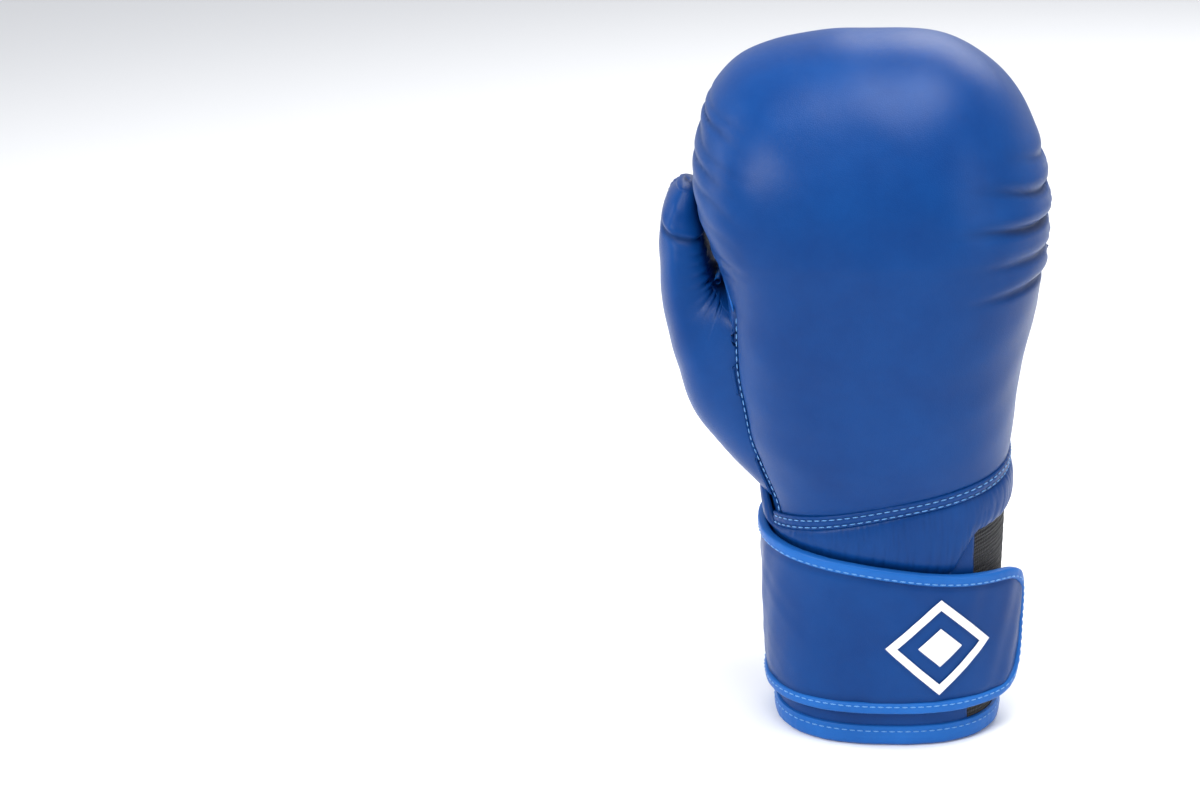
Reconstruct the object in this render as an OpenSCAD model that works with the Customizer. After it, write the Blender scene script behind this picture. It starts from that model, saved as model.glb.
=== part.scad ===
// Training boxing glove, right hand, standing on its cuff.
// The frame: +Z runs from the cuff's foot to the knuckles, -Y is the back of the hand,
// +X is the little-finger side. The origin is the middle of the wrist opening, on the foot plane.

/* [Glove] */
// Height from the cuff's foot to the top of the knuckles
glove_len = 290; // [262:1:340]
// Reach of the fist from the middle plane to the little-finger side
fist_right = 65; // [56:1:78]
// Reach of the fist from the middle plane to the thumb side
fist_left = 77; // [68:1:90]
// Depth from the curl's middle to the back of the hand
fist_back = 73; // [62:1:86]
// Rise of the knuckles over the curl's middle
knuckle_rise = 78; // [68:1:88]
// Reach of the finger roll in front of the curl's middle
roll_reach = 60; // [52:1:72]
// Drop of the finger roll below the curl's middle
roll_drop = 38; // [32:1:44]

/* [Cuff] */
// Outer width of the cuff
cuff_w = 95; // [80:1:114]
// Depth of the cuff on the back of the hand
cuff_back = 40; // [33:1:48]
// Depth of the cuff on the palm
cuff_palm = 36; // [30:1:43]
// Height of the wrist seam over the foot, at the back of the hand
seam_height = 102; // [90:1:112]
// Height of the rim binding
rim_h = 9; // [7:0.5:11]

/* [Layers] */
// Thickness of the leather
leather = 1.4; // [1.1:0.1:1.7]
// Thickness of the moulded outer foam over the knuckles
outer_pad = 15; // [12:0.5:18]
// Thickness of the soft inner foam over the knuckles
inner_pad = 9; // [7:0.5:11]
// Thickness of the satin lining
satin = 1; // [0.8:0.1:1.2]
// Gap between two layers
layer_gap = 0.3; // [0.2:0.1:0.5]

/* [Thumb] */
// Height of the crotch between the thumb and the fist
crotch_z = 191; // [186:1:197]
// Width of the thumb across its middle
thumb_w = 29; // [24:1:34]
// Thickness of the thumb's padding
thumb_pad = 6; // [5:0.5:7]

/* [Strap] */
// Height of the strap's lower edge over the foot
strap_low = 17; // [14:1:20]
// Width of the strap across the back of the hand
strap_w = 62; // [52:1:63]
// Thickness of the strap's leather
strap_leather = 1.6; // [1.3:0.1:2]
// Thickness of the strap's backing, and of a hook or loop patch
fleece = 1.2; // [1:0.1:1.4]
// Clearance between the strap and the cuff
strap_gap = 0.5; // [0.4:0.1:0.8]
// Width of the edge binding on the strap
edging_w = 4; // [3:0.5:5]
// Gap between the strap's root and its tip, where it bends
split_gap = 0.8; // [0.6:0.1:1]

/* [Hidden] */

blue = [0.11, 0.27, 0.57];
light_blue = [0.16, 0.42, 0.72];
mesh_blue = [0.08, 0.31, 0.75];
satin_grey = [0.22, 0.22, 0.23];
foam_grey = [0.55, 0.56, 0.58];

// Middle of the curl: its height, and how far it lies towards the palm
curl_z = glove_len - knuckle_rise;
curl_y = 8;
// Squareness of the sections: at the cuff, and at the fist's thumb and little-finger sides
cuff_square = 2.5;
thumb_side_square = 3.6;
finger_side_square = 2.4;
// Where the finger roll's leather ends, as an angle below the forward direction
roll_end = -62;
// Share of the padding left at the wrist and at the end of the roll
wrist_thin = 0.24;
roll_thin = 0.5;
// Height at which the cuff stops being upright
cuff_upright = 14;
wrist_half = cuff_w / 2 + 2;
palm_top = curl_z - roll_drop - 6;
all_pads = outer_pad + inner_pad + 2 * layer_gap;

function mix(a, b, t) = a + (b - a) * t;
function ease(t) = t <= 0 ? 0 : t >= 1 ? 1 : t * t * (3 - 2 * t);
function power(v, e) = sign(v) * pow(abs(v), e);
function steps(from, to, n) = [for (i = [0 : n]) mix(from, to, i / n)];

// Smooth curve through the points of a list, t from 0 to 1
function curve(list, t) =
    let (n = len(list) - 1, s = min(max(t, 0), 1) * n, i = min(floor(s), n - 1), f = s - i)
    let (a = list[max(i - 1, 0)], b = list[i], c = list[i + 1], d = list[min(i + 2, n)])
    0.5 * (2 * b + (c - a) * f + (2 * a - 5 * b + 4 * c - d) * f * f + (3 * b - a - 3 * c + d) * f * f * f);

// Half widths, depths and middle of the hand at height z
function right(z) = lookup(z, [[0, cuff_w / 2], [cuff_upright, cuff_w / 2],
    [seam_height, wrist_half], [mix(seam_height, curl_z, 0.4), mix(wrist_half, fist_right, 0.3)],
    [curl_z, fist_right]]);
function left(z) = lookup(z, [[0, cuff_w / 2], [cuff_upright, cuff_w / 2],
    [seam_height, wrist_half], [mix(seam_height, crotch_z, 0.4), mix(wrist_half, fist_left, 0.4)],
    [crotch_z, mix(wrist_half, fist_left, 0.5)], [curl_z, mix(wrist_half, fist_left, 0.8)],
    [curl_z + 24, fist_left]]);
function back(z) = lookup(z, [[0, cuff_back], [cuff_upright, cuff_back],
    [seam_height, cuff_back + 2], [mix(seam_height, curl_z, 0.3), mix(cuff_back, fist_back, 0.6)],
    [mix(seam_height, curl_z, 0.65), mix(cuff_back, fist_back, 0.93)], [curl_z, fist_back]]);
function palm(z) = lookup(z, [[0, cuff_palm], [cuff_upright, cuff_palm],
    [seam_height, cuff_palm - 6], [curl_z, cuff_palm - 11]]);
function middle(z) = curl_y * ease((z - cuff_upright) / (curl_z - cuff_upright));
function fist_square(th) = mix(thumb_side_square, finger_side_square, ease((cos(th) + 0.6) / 1.2));
function square(z, th) =
    mix(cuff_square, fist_square(th), ease((z - seam_height) / (curl_z - seam_height)));

// Seam between the fist and the cuff, the strap's upper edge, and the wrist roll's lower edge,
// as heights round the hand: 0 is the little-finger side, 90 the back, 180 the thumb side
function seam_z(th) = seam_height + 12 * cos(th);
function strap_top(th) = strap_low + strap_w + 1 - 8 * cos(th);
function roll_low(th) = max(seam_z(th) - 19, strap_top(th) + 1.5);

// Share of the padding round the section and along the hand
function round_share(th) = 0.25 + 0.75 * ease((sin(th) + 0.5) / 1.3);
function long_share(z) = mix(wrist_thin, 1, ease((z - seam_height) / (0.55 * (curl_z - seam_height))));

// Point of the hand at height z, angle th round it, and depth off under the leather's face
function hand_point(z, th, off) =
    let (e = 2 / square(z, th), c = power(cos(th), e), s = power(sin(th), e))
    [c > 0 ? c * (right(z) - off) : c * (left(z) - off),
        s > 0 ? middle(z) - s * (back(z) - off) : middle(z) - s * (palm(z) - off), z];

// Radius of the curl in direction phi: 180 is the back of the hand, 90 up, 0 forwards
function curl_radius(phi) =
    let (a = cos(phi) < 0 ? fist_back : roll_reach, b = sin(phi) > 0 ? knuckle_rise : roll_drop)
    pow(pow(abs(cos(phi)) / a, 2.3) + pow(abs(sin(phi)) / b, 2.3), -1 / 2.3);

// Point of the curled fist in direction phi, angle th across it, and depth off
function curl_point(phi, th, off) =
    let (e = 2 / fist_square(th), c = power(cos(th), e), r = (curl_radius(phi) - off) * power(sin(th), e))
    let (z = curl_z + r * sin(phi))
    [c * ((c > 0 ? right(z) : left(z)) - off), curl_y + r * cos(phi), z];

// Depth of a layer that lies under share f of all the padding
function pad_depth(f, th, share) = leather + layer_gap + f * all_pads * round_share(th) * share;

// Closed solid between two grids of points of the same size. A ring closes on itself.
module skin(outer, inner, ring = false) {
    rows = len(outer);
    cols = len(outer[0]);
    points = concat([for (r = outer) each r], [for (r = inner) each r]);
    function o(r, c) = r * cols + c % cols;
    function i(r, c) = rows * cols + o(r, c);
    last = ring ? cols - 1 : cols - 2;
    faces = [
        for (r = [0 : rows - 2], c = [0 : last]) each [
            [o(r, c), o(r, c + 1), o(r + 1, c + 1)], [o(r, c), o(r + 1, c + 1), o(r + 1, c)],
            [i(r, c), i(r + 1, c + 1), i(r, c + 1)], [i(r, c), i(r + 1, c), i(r + 1, c + 1)]],
        for (c = [0 : last]) each [
            [o(0, c + 1), o(0, c), i(0, c)], [o(0, c + 1), i(0, c), i(0, c + 1)],
            [o(rows - 1, c), o(rows - 1, c + 1), i(rows - 1, c + 1)],
            [o(rows - 1, c), i(rows - 1, c + 1), i(rows - 1, c)]],
        if (!ring) for (r = [0 : rows - 2]) each [
            [o(r, 0), o(r + 1, 0), i(r + 1, 0)], [o(r, 0), i(r + 1, 0), i(r, 0)],
            [o(r + 1, cols - 1), o(r, cols - 1), i(r, cols - 1)],
            [o(r + 1, cols - 1), i(r, cols - 1), i(r + 1, cols - 1)]]];
    polyhedron(points, [for (f = faces) if (is_face(points, f)) f]);
}

function is_face(p, f) =
    norm(p[f[0]] - p[f[1]]) > 1e-4 && norm(p[f[1]] - p[f[2]]) > 1e-4 && norm(p[f[2]] - p[f[0]]) > 1e-4;

// Solid tube of radius r along a path of points, with flat ends
module tube(path, r, sides = 8) {
    n = len(path);
    function along(k) = let (d = path[min(k + 1, n - 1)] - path[max(k - 1, 0)]) d / norm(d);
    function side(k) = let (s = cross(along(k), [0.31, 0.52, 0.8])) s / norm(s);
    rings = [for (k = [0 : n - 1]) [for (j = [0 : sides - 1])
        path[k] + r * (cos(360 * j / sides) * side(k) + sin(360 * j / sides) * cross(along(k), side(k)))]];
    points = [each [for (g = rings) each g], path[0], path[n - 1]];
    function at(k, j) = k * sides + j % sides;
    faces = [
        for (k = [0 : n - 2], j = [0 : sides - 1]) each [
            [at(k, j), at(k + 1, j + 1), at(k, j + 1)], [at(k, j), at(k + 1, j), at(k + 1, j + 1)]],
        for (j = [0 : sides - 1]) each [
            [n * sides, at(0, j), at(0, j + 1)], [n * sides + 1, at(n - 1, j + 1), at(n - 1, j)]]];
    polyhedron(points, faces);
}

// Patch of the hand between two heights and two angles. The heights may be functions of the angle.
module hand_patch(low, high, from, to, top, under, rows = 6, cols = 18, ring = false) {
    angles = steps(from, to, cols);
    kept = ring ? [for (k = [0 : cols - 1]) angles[k]] : angles;
    skin([for (u = steps(0, 1, rows)) [for (th = kept) hand_point(mix(low(th), high(th), u), th, top(th))]],
        [for (u = steps(0, 1, rows)) [for (th = kept) hand_point(mix(low(th), high(th), u), th, under(th))]],
        ring);
}

// The fist's layers. Each rises from the wrist seam and curls over the knuckles to the palm.
// The thumb side stays open below the crotch, where the thumb grows out of the hand.
thumb_seam = 151;
thumb_cols = 0.84;
function fist_from(z, wrap) = -wrap * ease((curl_z - z) / (curl_z - palm_top));
function fist_to(z, wrap) =
    mix(thumb_seam, 180 + wrap * ease((curl_z - z) / 20), ease((z - crotch_z + 4) / 8));
function fist_angle(v, from, to) =
    v < thumb_cols ? mix(from, thumb_seam, v / thumb_cols)
    : mix(thumb_seam, to, (v - thumb_cols) / (1 - thumb_cols));
module fist_layer(f_top, f_under, wrap, foot, cols = 25) {
    up = [0, 0.1, 0.22, 0.35, 0.5, 0.66, 0.78, 0.84, 0.9, 1];
    over = steps(180, roll_end, 16);
    function height(th, u) = mix(seam_z(th) + foot, curl_z, u);
    function angle(u, v) =
        let (z = mix(seam_height, curl_z, u)) fist_angle(v, fist_from(z, wrap), fist_to(z, wrap));
    function roll_share(phi, th) = mix(1, mix(roll_thin, 1, ease((phi - roll_end) / 120)), sin(th));
    function depth(f, th, share) = f < 0 ? 0 : f == 0 ? leather : pad_depth(f, th, share);
    function face(f) = [
        for (u = up) [for (v = steps(0, 1, cols)) let (th = angle(u, v), z = height(th, u))
            hand_point(z, th, depth(f, th, long_share(z)))],
        for (k = [1 : len(over) - 1]) [for (v = steps(0, 1, cols)) let (th = fist_angle(v, 0, 180))
            curl_point(over[k], th, depth(f, th, roll_share(over[k], th)))]];
    skin(face(f_top), face(f_under));
}
outer_share = outer_pad / all_pads;
gap_share = layer_gap / all_pads;

module back_shell() {
    color(blue) fist_layer(-1, 0, 22, 5);
}

module outer_foam() {
    color(foam_grey) fist_layer(0.012, outer_share, 0, 8);
}

module inner_foam() {
    color(foam_grey) fist_layer(outer_share + gap_share, 1 - gap_share, 0, 8);
}

module finger_lining() {
    color(satin_grey) fist_layer(1 + gap_share, 1 + gap_share + satin / all_pads, 0, 24);
}

// Hand lining: from the wrist to the fingers, open towards the thumb
module hand_lining() {
    color(satin_grey) hand_patch(function (th) seam_height + 1, function (th) palm_top - 4, -150, -17,
        function (th) palm_pad_depth, function (th) palm_pad_depth + satin, 6, 16);
}
palm_pad = 5;
palm_pad_depth = leather + palm_pad + 2 * layer_gap;

// Palm mesh: a spacer mesh that runs from the rim to the finger roll
palm_from = 207;
palm_to = 338;
module palm_mesh() {
    color(mesh_blue)
        hand_patch(function (th) rim_h / 2, function (th) palm_top, palm_from, palm_to,
            function (th) 0, function (th) leather, 14, 18);
}

module palm_foam() {
    color(foam_grey) hand_patch(function (th) seam_height + 2, function (th) palm_top - 4, 214, 326,
        function (th) leather + layer_gap, function (th) leather + layer_gap + palm_pad, 5, 14);
}

// Finger pad: the small padded bar on the mesh, below the finger roll
module finger_pad() {
    color(mesh_blue) tube([for (th = steps(236, 312, 8))
        hand_point(palm_top - 12, th, -layer_gap - 5)], 5, 10);
}

// Grip bar: a foam roll across the hand that the fingers close on
module grip_bar() {
    bar = right(palm_top) * 0.54;
    color(satin_grey) translate([0, curl_y - 4, curl_z - roll_drop - 8]) rotate([0, 90, 0]) {
        cylinder(r = 8, h = 2 * bar, center = true, $fn = 32);
        for (s = [-1, 1]) translate([0, 0, s * bar]) sphere(r = 8, $fn = 32);
    }
}

// Seam band and wrist roll: a flat double-stitched band, and the padded roll under it
module wrist_seam_band() {
    color(blue) hand_patch(function (th) seam_z(th) + 0.3, function (th) seam_z(th) + 4.7, -14, 151,
        function (th) 0, function (th) leather, 1, 20);
}

roll_bulge = 2.5;
roll_from = -14;
roll_to = 148;
module roll_layer(top, under, edge, under_bulge) {
    angles = steps(roll_from, roll_to, 18);
    ups = steps(0, 1, 6);
    function bulge(u) = roll_bulge * sin(180 * u);
    function z(th, u) = mix(roll_low(th) + edge, seam_z(th) - edge, u);
    skin([for (u = ups) [for (th = angles) hand_point(z(th, u), th, top - bulge(u))]],
        [for (u = ups) [for (th = angles) hand_point(z(th, u), th, under - under_bulge * bulge(u))]]);
}

module wrist_roll() {
    color(blue) roll_layer(0, leather, 0, 1);
}

module wrist_roll_foam() {
    color(foam_grey) roll_layer(leather + layer_gap, leather + cuff_pad, 1, 0);
}

// Cuff: the back panel, its foam, the elastic on the little-finger side and the lining.
// The panel rises on the thumb side, up to the thumb's root.
cuff_pad = 6;
elastic_from = -18;
elastic_to = 48;
slit_edge = 188;
panel_foot = rim_h / 2;
panel_rise = 8;
function panel_top(th) = roll_low(th) - 0.5 + panel_rise * ease((th - roll_to - 2) / 10);
module cuff_back_panel() {
    color(blue) hand_patch(function (th) panel_foot, function (th) panel_top(th),
        elastic_to + 0.5, slit_edge, function (th) 0, function (th) leather, 6, 16);
}

module elastic_gusset() {
    color([0.07, 0.07, 0.08]) hand_patch(function (th) panel_foot, function (th) roll_low(th) - 0.5,
        elastic_from, elastic_to, function (th) 0.2, function (th) leather - 0.2, 6, 10);
}

module cuff_foam() {
    color(foam_grey) hand_patch(function (th) rim_h + 1, function (th) roll_low(th) - 1, 12, slit_edge,
        function (th) leather + layer_gap, function (th) leather + cuff_pad, 5, 16);
}

module cuff_lining() {
    color(satin_grey) hand_patch(function (th) panel_foot, function (th) seam_height - 1, 0, 360,
        function (th) cuff_wall, function (th) cuff_wall + satin, 6, 40, true);
}
cuff_wall = leather + cuff_pad + layer_gap;

// Rim binding: a folded strip that wraps the cuff's edge all round and is the foot of the glove
binding_t = 1.3;
module rim_outline(off) {
    polygon([for (k = [0 : 59]) let (p = hand_point(0, 6 * k, off)) [p[0], p[1]]]);
}
module cuff_binding() {
    color(light_blue) difference() {
        linear_extrude(rim_h) rim_outline(-binding_t - layer_gap);
        translate([0, 0, -1]) linear_extrude(rim_h + 2) rim_outline(cuff_wall + satin + binding_t + layer_gap);
        translate([0, 0, rim_h / 2 - layer_gap]) linear_extrude(rim_h) difference() {
            rim_outline(-layer_gap);
            rim_outline(cuff_wall + satin + layer_gap);
        }
    }
}

// Slit binding: a cord-like edge round the top of the wrist slit, on the palm's thumb side
slit_top = strap_low + strap_w + 13;
module slit_binding() {
    color(light_blue) tube([for (t = steps(0, 180, 12))
        hand_point(slit_top - 12 + 12 * sin(t), 198 + 5 * cos(t), 1.5)], 2);
}

// Strap: sewn to the mesh beside the palm, round the thumb side and across the back of the hand.
// It lies on the cuff, and its free end stands a little off it.
strap_inner = -strap_gap - fleece;
anchor_from = 224;
anchor_to = 193;
root_from = 192;
tip_from = 102;
root_to = tip_from + split_gap * 180 / PI / (cuff_w / 2);
tip_to = 6;
end_round = 22;
end_binding = 4;

function flare(th) = 4 * ease((46 - th) / 40);
function end_pull(th, reach) = let (t = min(max((th - tip_to) / reach, 0), 1)) 1 - sqrt(1 - (1 - t) * (1 - t));
function strap_z0(th) = strap_low + 18 * end_pull(th, end_round);
function strap_z1(th) = strap_top(th) - 18 * end_pull(th, end_round);
module strap_patch(from, to, low, high, top, under, cols) {
    angles = steps(from, to, cols);
    ups = steps(0, 1, 4);
    function face(off) = [for (u = ups) [for (th = angles)
        hand_point(mix(strap_z0(th) + low, strap_z1(th) - high, u), th, off - flare(th))]];
    skin(face(top), face(under));
}
module edge_patch(from, to, cols) {
    face_t = strap_inner - fleece - strap_leather;
    angles = steps(from, to, cols);
    function z(th, u, upper) = upper ? strap_z1(th) - edging_w * u : strap_z0(th) + edging_w * (1 - u);
    function end_z(u) = mix(strap_z0(tip_to) + edging_w, strap_z1(tip_to) - edging_w, u);
    for (upper = [false, true])
        skin([for (u = [1, 0]) [for (th = angles) hand_point(z(th, u, upper), th, face_t - flare(th) - 0.8)]],
            [for (u = [1, 0]) [for (th = angles)
                hand_point(z(th, u, upper), th, strap_inner - flare(th) + 0.1)]]);
    if (from == tip_to) {
        ends = [tip_to, tip_to + end_binding];
        ups = steps(0, 1, 4);
        skin([for (u = ups) [for (th = ends) hand_point(end_z(u), th, face_t - flare(th) - 0.8)]],
            [for (u = ups) [for (th = ends) hand_point(end_z(u), th, strap_inner - flare(th) + 0.1)]]);
    }
}
body_low = edging_w + layer_gap;

module strap_anchor() {
    color(blue) strap_patch(anchor_to, anchor_from, body_low, body_low,
        strap_inner - fleece - strap_leather, -layer_gap, 6);
}

module anchor_edging() {
    color(light_blue) edge_patch(anchor_to, anchor_from, 6);
}

module strap_leather_panel() {
    color(blue) strap_patch(root_to, root_from, body_low, body_low,
        strap_inner - fleece - strap_leather, strap_inner - fleece - 0.1, 14);
}

module strap_backing() {
    color(satin_grey) strap_patch(root_to, root_from, body_low, body_low,
        strap_inner - fleece, strap_inner, 14);
}

module strap_edging() {
    color(light_blue) edge_patch(root_to, root_from, 14);
}

module tip_leather_panel() {
    color(blue) strap_patch(tip_to + end_binding + 0.4, tip_from, body_low, body_low,
        strap_inner - fleece - strap_leather, strap_inner - fleece - 0.1, 18);
}

module tip_backing() {
    color(satin_grey) strap_patch(tip_to + end_binding + 0.4, tip_from, body_low, body_low,
        strap_inner - fleece, strap_inner, 18);
}

module tip_edging() {
    color(light_blue) edge_patch(tip_to, tip_from, 20);
}

module hook_patch() {
    color([0.1, 0.1, 0.11]) strap_patch(24, 84, 10, 10, strap_inner + 0.2, strap_inner + fleece, 10);
}

module loop_patch() {
    color([0.1, 0.1, 0.11]) hand_patch(function (th) strap_low + 8, function (th) strap_top(th) - 8,
        56, 150, function (th) -0.4, function (th) -0.1, 3, 14);
}

// Emblem: a plain diamond outline with a small diamond in it, raised on the strap's end
emblem_at = 70;
module emblem() {
    face_t = strap_inner - fleece - strap_leather - layer_gap;
    function spot(x, z) = hand_point(z, emblem_at - x, face_t - flare(emblem_at - x));
    function lift(p) = p - [0, 0.6, 0];
    mid = strap_low + strap_w / 2 - 2;
    corners = [[0, 21], [27, 0], [0, -21], [-27, 0]];
    color("white") {
        for (k = [0 : 3]) {
            a = corners[k];
            b = corners[(k + 1) % 4];
            outer = [for (t = steps(0, 1, 4)) mix(a, b, t)];
            skin([[for (p = outer) lift(spot(p[0], mid + p[1]))],
                [for (p = outer) lift(spot(0.8 * p[0], mid + 0.8 * p[1]))]],
                [[for (p = outer) spot(p[0], mid + p[1])],
                [for (p = outer) spot(0.8 * p[0], mid + 0.8 * p[1])]]);
        }
        skin([[lift(spot(0, mid + 9)), lift(spot(11, mid))], [lift(spot(-11, mid)), lift(spot(0, mid - 9))]],
            [[spot(0, mid + 9), spot(11, mid)], [spot(-11, mid), spot(0, mid - 9)]]);
    }
}

// Thumb: a loft between an inner rail, round the crotch, and an outer rail, both in the X-Z plane.
// It starts as a tall opening in the hand's side and ends in a flattened tip beside the fist,
// a small gap off the fist's side at each height.
thumb_x = -left(crotch_z) + 1;
function beside(dz, gap) = [-left(crotch_z + dz) - gap, crotch_z + dz];
inner_rail = [[thumb_x + 1, crotch_z - 3], [thumb_x, crotch_z - 2], [thumb_x - 1, crotch_z - 1],
    [thumb_x - 2, crotch_z], beside(3, 4.8), beside(10, 4.5), beside(21, 2.8), beside(31, 3.4),
    beside(37, 5.4)];
outer_rail = [[thumb_x + 15, seam_height - 5], [thumb_x - 1, seam_height + 14],
    [thumb_x + 12 - thumb_w, crotch_z - 55], [thumb_x + 5 - thumb_w, crotch_z - 35],
    [thumb_x - thumb_w, crotch_z - 12], beside(10, thumb_w - 3.4), beside(25, thumb_w - 9.7),
    beside(35, thumb_w - 16), beside(40, thumb_w - 21.6)];
thumb_half = [23, 24.5, 25.5, 26, 25.5, 24.5, 21.5, 16.5, 9];
thumb_mid = [-8, -4, 0, 4, 7, 9, 11, 12, 13];
function thumb_point(v, beta, off, share = 1) =
    let (i = curve(inner_rail, v), o = curve(outer_rail, v), m = (i + o) / 2, d = (o - i) / 2)
    let (len_e = norm(d), b = curve(thumb_half, v), c = power(cos(beta), 0.8), s = power(sin(beta), 0.8))
    let (along = share * max(len_e - off, 0.5) / len_e * c, across = share * max(b - off, 0.5) * s)
    [m[0] + d[0] * along, curve(thumb_mid, v) + across, m[1] + d[1] * along];
module thumb_patch(v0, v1, from, to, top, under, rows, cols, ring = false) {
    angles = steps(from, to, cols);
    kept = ring ? [for (k = [0 : cols - 1]) angles[k]] : angles;
    skin([for (v = steps(v0, v1, rows)) [for (a = kept) thumb_point(v, a, top)]],
        [for (v = steps(v0, v1, rows)) [for (a = kept) thumb_point(v, a, under)]], ring);
}
thumb_in = leather + layer_gap;

module thumb_shell() {
    color(blue) thumb_patch(0.03, 1, -142, 55, 0, leather, 18, 14);
}

// Two vents are punched through the inner panel, on its palm side
vent_r = 1.5;
vents = [[thumb_x - 17.3, crotch_z - 23], [thumb_x - 19.3, crotch_z + 12]];
module thumb_inner_panel() {
    color(blue) difference() {
        thumb_patch(0.06, 1, 56, 217, 0, leather, 18, 12);
        for (p = vents) translate([p[0], 15, p[1]]) rotate([-90, 0, 0])
            cylinder(r = vent_r, h = 40, $fn = 20);
    }
}

module thumb_foam() {
    color(foam_grey) thumb_patch(0.1, 0.82, -100, 100, thumb_in, thumb_in + thumb_pad, 12, 14);
}

module thumb_lining() {
    off = thumb_in + thumb_pad + 3 * layer_gap;
    color(satin_grey) thumb_patch(0.1, 0.6, 0, 360, off, off + satin, 10, 20, true);
}

// Tether: a short web that ties the thumb's tip to the side of the fist
module thumb_tether() {
    z = crotch_z + 27;
    web = 1.6;
    color(blue) translate([-left(z) - 2 * layer_gap - web, 4, z - 2]) cube([web, 12, 4]);
}

// Thumb gusset: a narrow leather strip between the thumb's root and the palm mesh
module thumb_gusset() {
    color(blue) hand_patch(function (th) seam_height + 2, function (th) crotch_z - 30, 199, 206,
        function (th) 0, function (th) leather, 8, 3);
}

// Crotch binding: the light edge at the foot of the gap between the thumb and the fist
module crotch_binding() {
    color(light_blue) tube([for (y = steps(-18, 24, 6)) [thumb_x - 5.2, y, crotch_z + 4.6]], 1.1);
}

back_shell();
outer_foam();
inner_foam();
finger_lining();
hand_lining();
palm_mesh();
palm_foam();
finger_pad();
grip_bar();
wrist_seam_band();
wrist_roll();
wrist_roll_foam();
cuff_back_panel();
cuff_foam();
cuff_lining();
cuff_binding();
elastic_gusset();
slit_binding();
loop_patch();
strap_anchor();
anchor_edging();
thumb_shell();
thumb_inner_panel();
thumb_foam();
thumb_lining();
thumb_tether();
thumb_gusset();
crotch_binding();
strap_leather_panel();
strap_backing();
strap_edging();
tip_leather_panel();
tip_backing();
tip_edging();
hook_patch();
emblem();
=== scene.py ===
import math

import bmesh
import bpy
import numpy as np
from mathutils import Matrix, Vector


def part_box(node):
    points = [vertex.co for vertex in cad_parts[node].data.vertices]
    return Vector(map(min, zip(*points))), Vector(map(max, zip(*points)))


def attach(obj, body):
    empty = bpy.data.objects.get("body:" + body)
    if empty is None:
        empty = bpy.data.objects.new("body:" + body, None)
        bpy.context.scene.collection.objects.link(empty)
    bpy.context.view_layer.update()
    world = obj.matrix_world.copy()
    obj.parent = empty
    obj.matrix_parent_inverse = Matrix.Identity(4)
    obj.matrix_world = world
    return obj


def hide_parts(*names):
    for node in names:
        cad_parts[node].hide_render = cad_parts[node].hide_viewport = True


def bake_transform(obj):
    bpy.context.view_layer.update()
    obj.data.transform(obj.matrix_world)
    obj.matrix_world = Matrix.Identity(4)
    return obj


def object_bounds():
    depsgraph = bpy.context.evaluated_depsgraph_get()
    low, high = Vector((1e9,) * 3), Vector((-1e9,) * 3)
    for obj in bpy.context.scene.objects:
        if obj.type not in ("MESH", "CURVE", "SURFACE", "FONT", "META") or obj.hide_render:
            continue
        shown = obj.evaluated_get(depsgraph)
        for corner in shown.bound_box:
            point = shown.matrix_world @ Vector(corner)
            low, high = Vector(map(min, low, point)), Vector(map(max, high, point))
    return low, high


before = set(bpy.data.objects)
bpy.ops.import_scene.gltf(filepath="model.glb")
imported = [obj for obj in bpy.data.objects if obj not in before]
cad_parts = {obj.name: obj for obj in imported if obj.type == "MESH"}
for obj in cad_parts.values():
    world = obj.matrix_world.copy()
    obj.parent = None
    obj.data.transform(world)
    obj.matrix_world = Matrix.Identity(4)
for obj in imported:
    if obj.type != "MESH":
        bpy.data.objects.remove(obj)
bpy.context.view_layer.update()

scene = bpy.context.scene
MM = 0.001

# ---- Camera -------------------------------------------------------------------------------
# It looks at the back of the hand, a metre away and a little from above, and keeps the glove
# right of the middle, standing upright.
high = Vector(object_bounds()[1])
glove_mid = Vector((0.0, 0.0, high.z / 2))
CAMERA_RISE = math.radians(19)
CAMERA_AWAY = 1.0
ahead = Vector((0, math.cos(CAMERA_RISE), -math.sin(CAMERA_RISE)))
above = Vector((0, math.sin(CAMERA_RISE), math.cos(CAMERA_RISE)))
eye = glove_mid - CAMERA_AWAY * ahead
AIM_ASIDE, AIM_DOWN = 0.119, 0.006
aim = glove_mid - Vector((AIM_ASIDE, 0, 0)) - AIM_DOWN * above
gaze = (aim - eye).normalized()
to_glove = glove_mid - eye
plumb = (Vector((0, 0, 1)) * to_glove.dot(gaze) - to_glove * gaze.z).normalized()
side = gaze.cross(plumb).normalized()
camera = bpy.data.objects.new("camera", bpy.data.cameras.new("camera"))
camera.data.lens = 72.2
camera.data.sensor_width = 36
turn = Matrix((side, side.cross(gaze), -gaze)).transposed().to_4x4()
camera.matrix_world = Matrix.Translation(eye) @ turn
scene.collection.objects.link(camera)
scene.camera = camera

# ---- Floor and light ----------------------------------------------------------------------
# A plain pale floor that runs out to the horizon, a pale sky, one big soft light over the left
# shoulder, a weaker one from the right and a long one that draws the rim highlights.


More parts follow.
